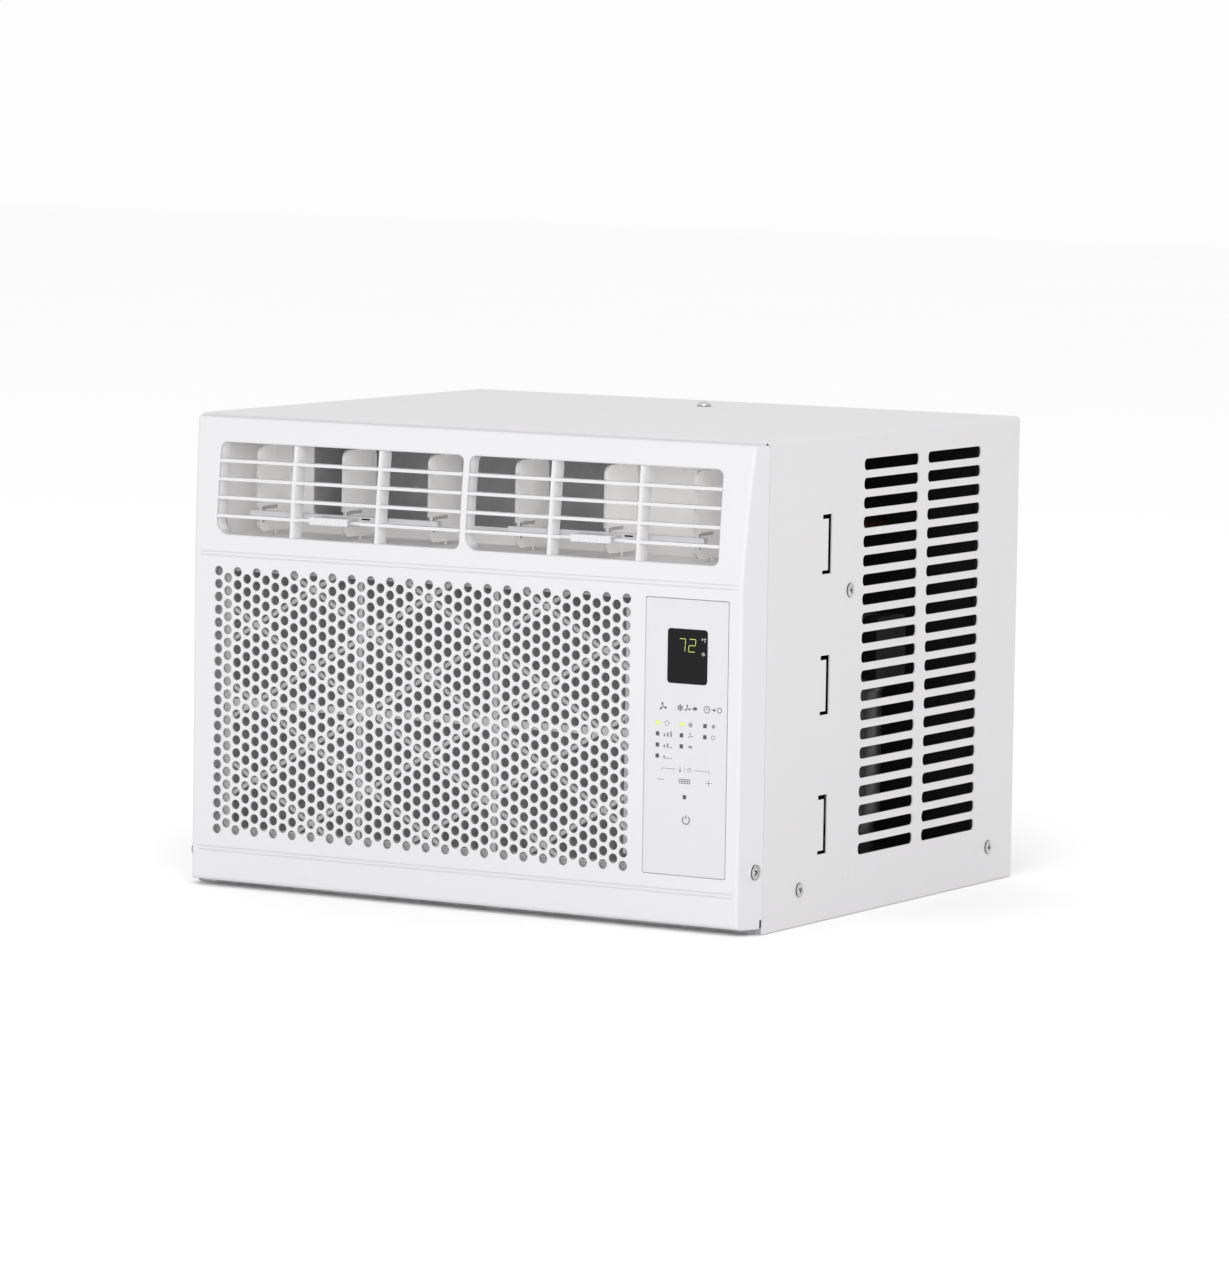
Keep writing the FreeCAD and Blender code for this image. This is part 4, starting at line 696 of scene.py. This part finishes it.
def screw_head(number, place, direction, radius, turn, height=HEAD_H):
    """Pan head turned as a lathe form, with a cross recess pressed into its crown; the floor of the recess
    and the low rim of the head take a dark metal as painted shade.
    """
    rings, sides = 20, 72
    half_slot, reach = 0.62 * MM, RECESS_REACH
    verts = [(0, 0, height - RECESS_DEPTH)]
    profile = []
    for i in range(1, rings + 1):
        t = i / rings
        r = radius * 0.97 * t
        profile.append((r, height * (1 - 0.42 * t ** 2.4)))
    profile += [(radius, height * 0.45), (radius, height * 0.14), (radius, 0.0), (radius * 0.3, 0.0)]
    for r, h in profile:
        for k in range(sides):
            a = 2 * math.pi * k / sides
            x, y = r * math.cos(a), r * math.sin(a)
            near, far = sorted((abs(x), abs(y)))
            drop = 0.0
            if h > height * 0.5 and near < half_slot and far < reach:
                drop = RECESS_DEPTH * min(1.0, (reach - far) / (0.9 * MM))
            verts.append((x, y, h - drop))
    faces = turned_faces(len(profile), sides)
    spans = [math.hypot(x, y) for x, y, z in verts]
    # Faces deep in the recess and on the low rim get the dark metal: painted shade.
    dark = [any(verts[i][2] < height - 0.93 * MM and spans[i] < reach for i in face) for face in faces]
    low_rim = 2 * MM if height <= HEAD_H else height * 0.1
    rim = [all(spans[i] > radius * 0.93 for i in face) and min(verts[i][2] for i in face) < low_rim
           for face in faces]
    axis = Vector(direction)
    spin = axis.to_track_quat("Z", "Y").to_matrix() @ Matrix.Rotation(math.radians(turn), 3, "Z")
    points = [spin @ Vector(v) + Vector(place) * MM for v in verts]
    made = piece("screw_%d" % number, points, faces, SCREW_METAL, CABINET, "bright_steel", smooth=True)
    made.data.materials.append(SCREW_PAINTED_SHADE)
    for face, in_recess, on_rim in zip(made.data.polygons, dark, rim):
        face.material_index = 1 if in_recess or on_rim else 0
    tidy_normals(made)
    if number == 1:
        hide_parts("cabinet_screws")


def screws():
    """Three screws in each side of the case, one in each side of the bezel and one in the top."""
    number = 1
    for side in (-1, 1):
        for y, z in SIDE_SCREWS:
            screw_head(number, (side * SIDE_X, y, z), (side, 0, 0), SIDE_HEAD_R, 17 * number)
            number += 1
    for side, seat, z in BEZEL_SCREWS:
        screw_head(number, (side * seat, BEZEL_SCREW_Y, z), (side, 0, 0), BEZEL_HEAD_R, 17 * number)
        number += 1
    screw_head(number, TOP_SCREW, (0, 0, 1), BEZEL_HEAD_R, 30, TOP_HEAD_H)


screws()


def dome(name, side, y, z, half_a, half_b, height):
    """Low oval swelling pressed out of the sheet of one side."""
    rings, sides = 8, 36
    place, axis = Vector((side * SIDE_X, y, z)), Vector((side, 0, 0))
    across = Vector((0, 1, 0))
    up = axis.cross(across)
    verts = [place * MM + axis * height * MM]
    for i in range(1, rings + 1):
        t = i / rings
        lift = height * (0.5 + 0.5 * math.cos(math.pi * t))
        for k in range(sides):
            a = 2 * math.pi * k / sides
            offset = across * half_a * t * math.cos(a) + up * half_b * t * math.sin(a)
            verts.append((place + offset + axis * (lift - 0.02)) * MM)
    made = piece(name, verts, turned_faces(rings, sides), MATERIALS["painted_steel"], CABINET,
                 "painted_steel", smooth=True)
    tidy_normals(made)


def case_relief():
    """Dimples over the side tabs and one oval emboss low on each side."""
    for side, word in ((-1, "left"), (1, "right")):
        for i, z in enumerate((293.6, 193.9, 95.0)):
            dome("dimple_%s_%d" % (word, i + 1), side, -97.3, z, 2.6, 2.2, 0.45)
        dome("emboss_%s" % word, side, -57.8, 29.6, 5.8, 9.2, 0.5)


case_relief()


def relief_lip():
    """Lip that narrows the relief slit at the low right corner of the bezel and follows its taper."""
    inside, top = 229.0, 13.75
    outer = ((233.0, -184.95), (234.0, -182.9), (234.93, -181.05))

    def block(first, second, bottom):
        plan = ((inside, first[1]), first, second, (inside, second[1]))
        return [(x * MM, y * MM, z * MM) for z in (bottom, top) for x, y in plan]

    verts = block(outer[0], outer[1], 4.6) + block(outer[1], outer[2], 10.8)
    faces = []
    for base in (0, 8):
        for face in ((3, 2, 1, 0), (4, 5, 6, 7), (0, 1, 5, 4), (1, 2, 6, 5), (2, 3, 7, 6), (3, 0, 4, 7)):
            faces.append(tuple(base + i for i in face))
    # The lip takes the bezel moulding, with its painted shade on faces across the width.
    piece("relief_lip", verts, faces, BEZEL, CABINET, "white_plastic")


relief_lip()


GRIP_CENTRES = {"left": -113.4, "right": 103.8}
RIB_COUNT = 9
RIB_STEP = 3.4
RIB_Z = (267.1 * MM, 271.9 * MM)


def grip_ribs():
    """Ribbed finger grip on the tab of each link bar, and beside it a thin black sheet that stands for a
    slot: painted shade.
    """
    angles = [math.radians(a) for a in range(0, 181, 30)]
    n = len(angles)
    for side, centre in GRIP_CENTRES.items():
        body = side + "_link_bar"
        low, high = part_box(body)
        verts, faces = [], []
        for i in range(RIB_COUNT):
            x = (centre + RIB_STEP * (i - (RIB_COUNT - 1) / 2)) * MM
            base = len(verts)
            for z in RIB_Z:
                for t in angles:
                    bulge = 0.02 * MM - 0.75 * MM * math.sin(t)
                    verts.append((x + 0.95 * MM * math.cos(t), low.y + bulge, z))
            faces += [(base + k, base + k + 1, base + n + k + 1, base + n + k) for k in range(n - 1)]
            faces += [tuple(base + k for k in range(n)), tuple(base + n + k for k in reversed(range(n))),
                      (base, base + n, base + 2 * n - 1, base + n - 1)]
        made = piece("grip_%s" % side, verts, faces, MATERIALS["white_plastic"], body, "white_plastic")
        tidy_normals(made)
        # The slot is no opening: a thin black sheet painted in as its shade.
        slot = (((centre + 18.5) * MM, high.y - 5.03 * MM, 270.9 * MM),
                ((centre + 25.5) * MM, high.y - 4.8 * MM, 272.2 * MM))
        mark = piece("pin_slot_painted_shade_%s" % side, *box_mesh([slot]), MATERIALS["black_plastic"], body)
        modifier(mark, "BEVEL", width=0.1 * MM, segments=2)


grip_ribs()


SLIT_Y = (-178.4 * MM, -161.0 * MM)
SLIT_Z = (274.0 * MM, 276.4 * MM)


def vane_slots():
    """Long slit above the link bar in each swinging vane, shown only by a thin grey sheet on each face of the
    vane: painted shade.
    """
    for side in ("left", "right"):
        for index in (1, 2, 3):
            name = "%s_vane_%d" % (side, index)
            low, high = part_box(name)
            middle = (low.x + high.x) / 2
            parts = []
            for face in (-1, 1):
                x0, x1 = sorted((middle + face * 0.95 * MM, middle + face * 1.04 * MM))
                parts.append(((x0, SLIT_Y[0], SLIT_Z[0]), (x1, SLIT_Y[1], SLIT_Z[1])))
            made = piece("slit_" + name, *box_mesh(parts), SLIT_PAINTED_SHADE, name)
            modifier(made, "BEVEL", width=0.03 * MM, segments=1)


vane_slots()


# ---------------------------------------------------------------- stage, light and camera

def floor():
    """Wide pale floor under the feet of the case."""
    size, z = 12.0, cad_low.z
    verts = [(-size, -size, z), (size, -size, z), (size, size, z), (-size, size, z)]
    mesh = bpy.data.meshes.new("floor")
    mesh.from_pydata(verts, [], [(0, 1, 2, 3)])
    mesh.materials.append(surface("floor_paint", (0.985, 0.985, 0.985), 0.95, vary=0.003, patch=1.5,
                                  relief=0.0, specular=0.05))
    made = bpy.data.objects.new("floor", mesh)
    bpy.context.scene.collection.objects.link(made)


floor()


def area_light(name, place, target, size, power):
    """Square white soft box aimed at a point."""
    data = bpy.data.lights.new(name, "AREA")
    data.shape = "SQUARE"
    data.size = size
    data.energy = power
    made = bpy.data.objects.new(name, data)
    made.location = place
    made.rotation_mode = "QUATERNION"
    made.rotation_quaternion = (Vector(target) - Vector(place)).to_track_quat("-Z", "Y")
    bpy.context.scene.collection.objects.link(made)


area_light("key", (1.8, -3.8, 1.75), (0, 0, 0.17), 3.0, 72.5)
area_light("top", (-0.2, 0.2, 2.7), (0, 0, 0.3), 2.0, 5)

world = bpy.data.worlds.new("studio")
bpy.context.scene.world = world
world.use_nodes = True
world.node_tree.nodes["Background"].inputs["Color"].default_value = (1, 1, 1, 1)
world.node_tree.nodes["Background"].inputs["Strength"].default_value = 0.98

CAMERA_AT = Vector((2.4057, -4.0954, 0.6432))
YAW, PITCH_DOWN, ROLL = (math.radians(a) for a in (30.353, 5.607, 0.852))


def camera():
    """Camera at the front right, a little above the middle of the unit."""
    data = bpy.data.cameras.new("camera")
    data.sensor_width = 36.0
    data.lens = 183.53
    data.clip_end = 100
    made = bpy.data.objects.new("camera", data)
    level = Vector((-math.sin(YAW), math.cos(YAW), 0))
    forward = level * math.cos(PITCH_DOWN) - Vector((0, 0, math.sin(PITCH_DOWN)))
    right = Vector((math.cos(YAW), math.sin(YAW), 0))
    up = right.cross(forward)
    across = right * math.cos(ROLL) + up * math.sin(ROLL)
    upward = up * math.cos(ROLL) - right * math.sin(ROLL)
    turn = Matrix((across, upward, -forward)).transposed()
    made.matrix_world = Matrix.Translation(CAMERA_AT) @ turn.to_4x4()
    bpy.context.scene.collection.objects.link(made)
    bpy.context.scene.camera = made


camera()
bpy.context.scene.view_settings.view_transform = "Standard"
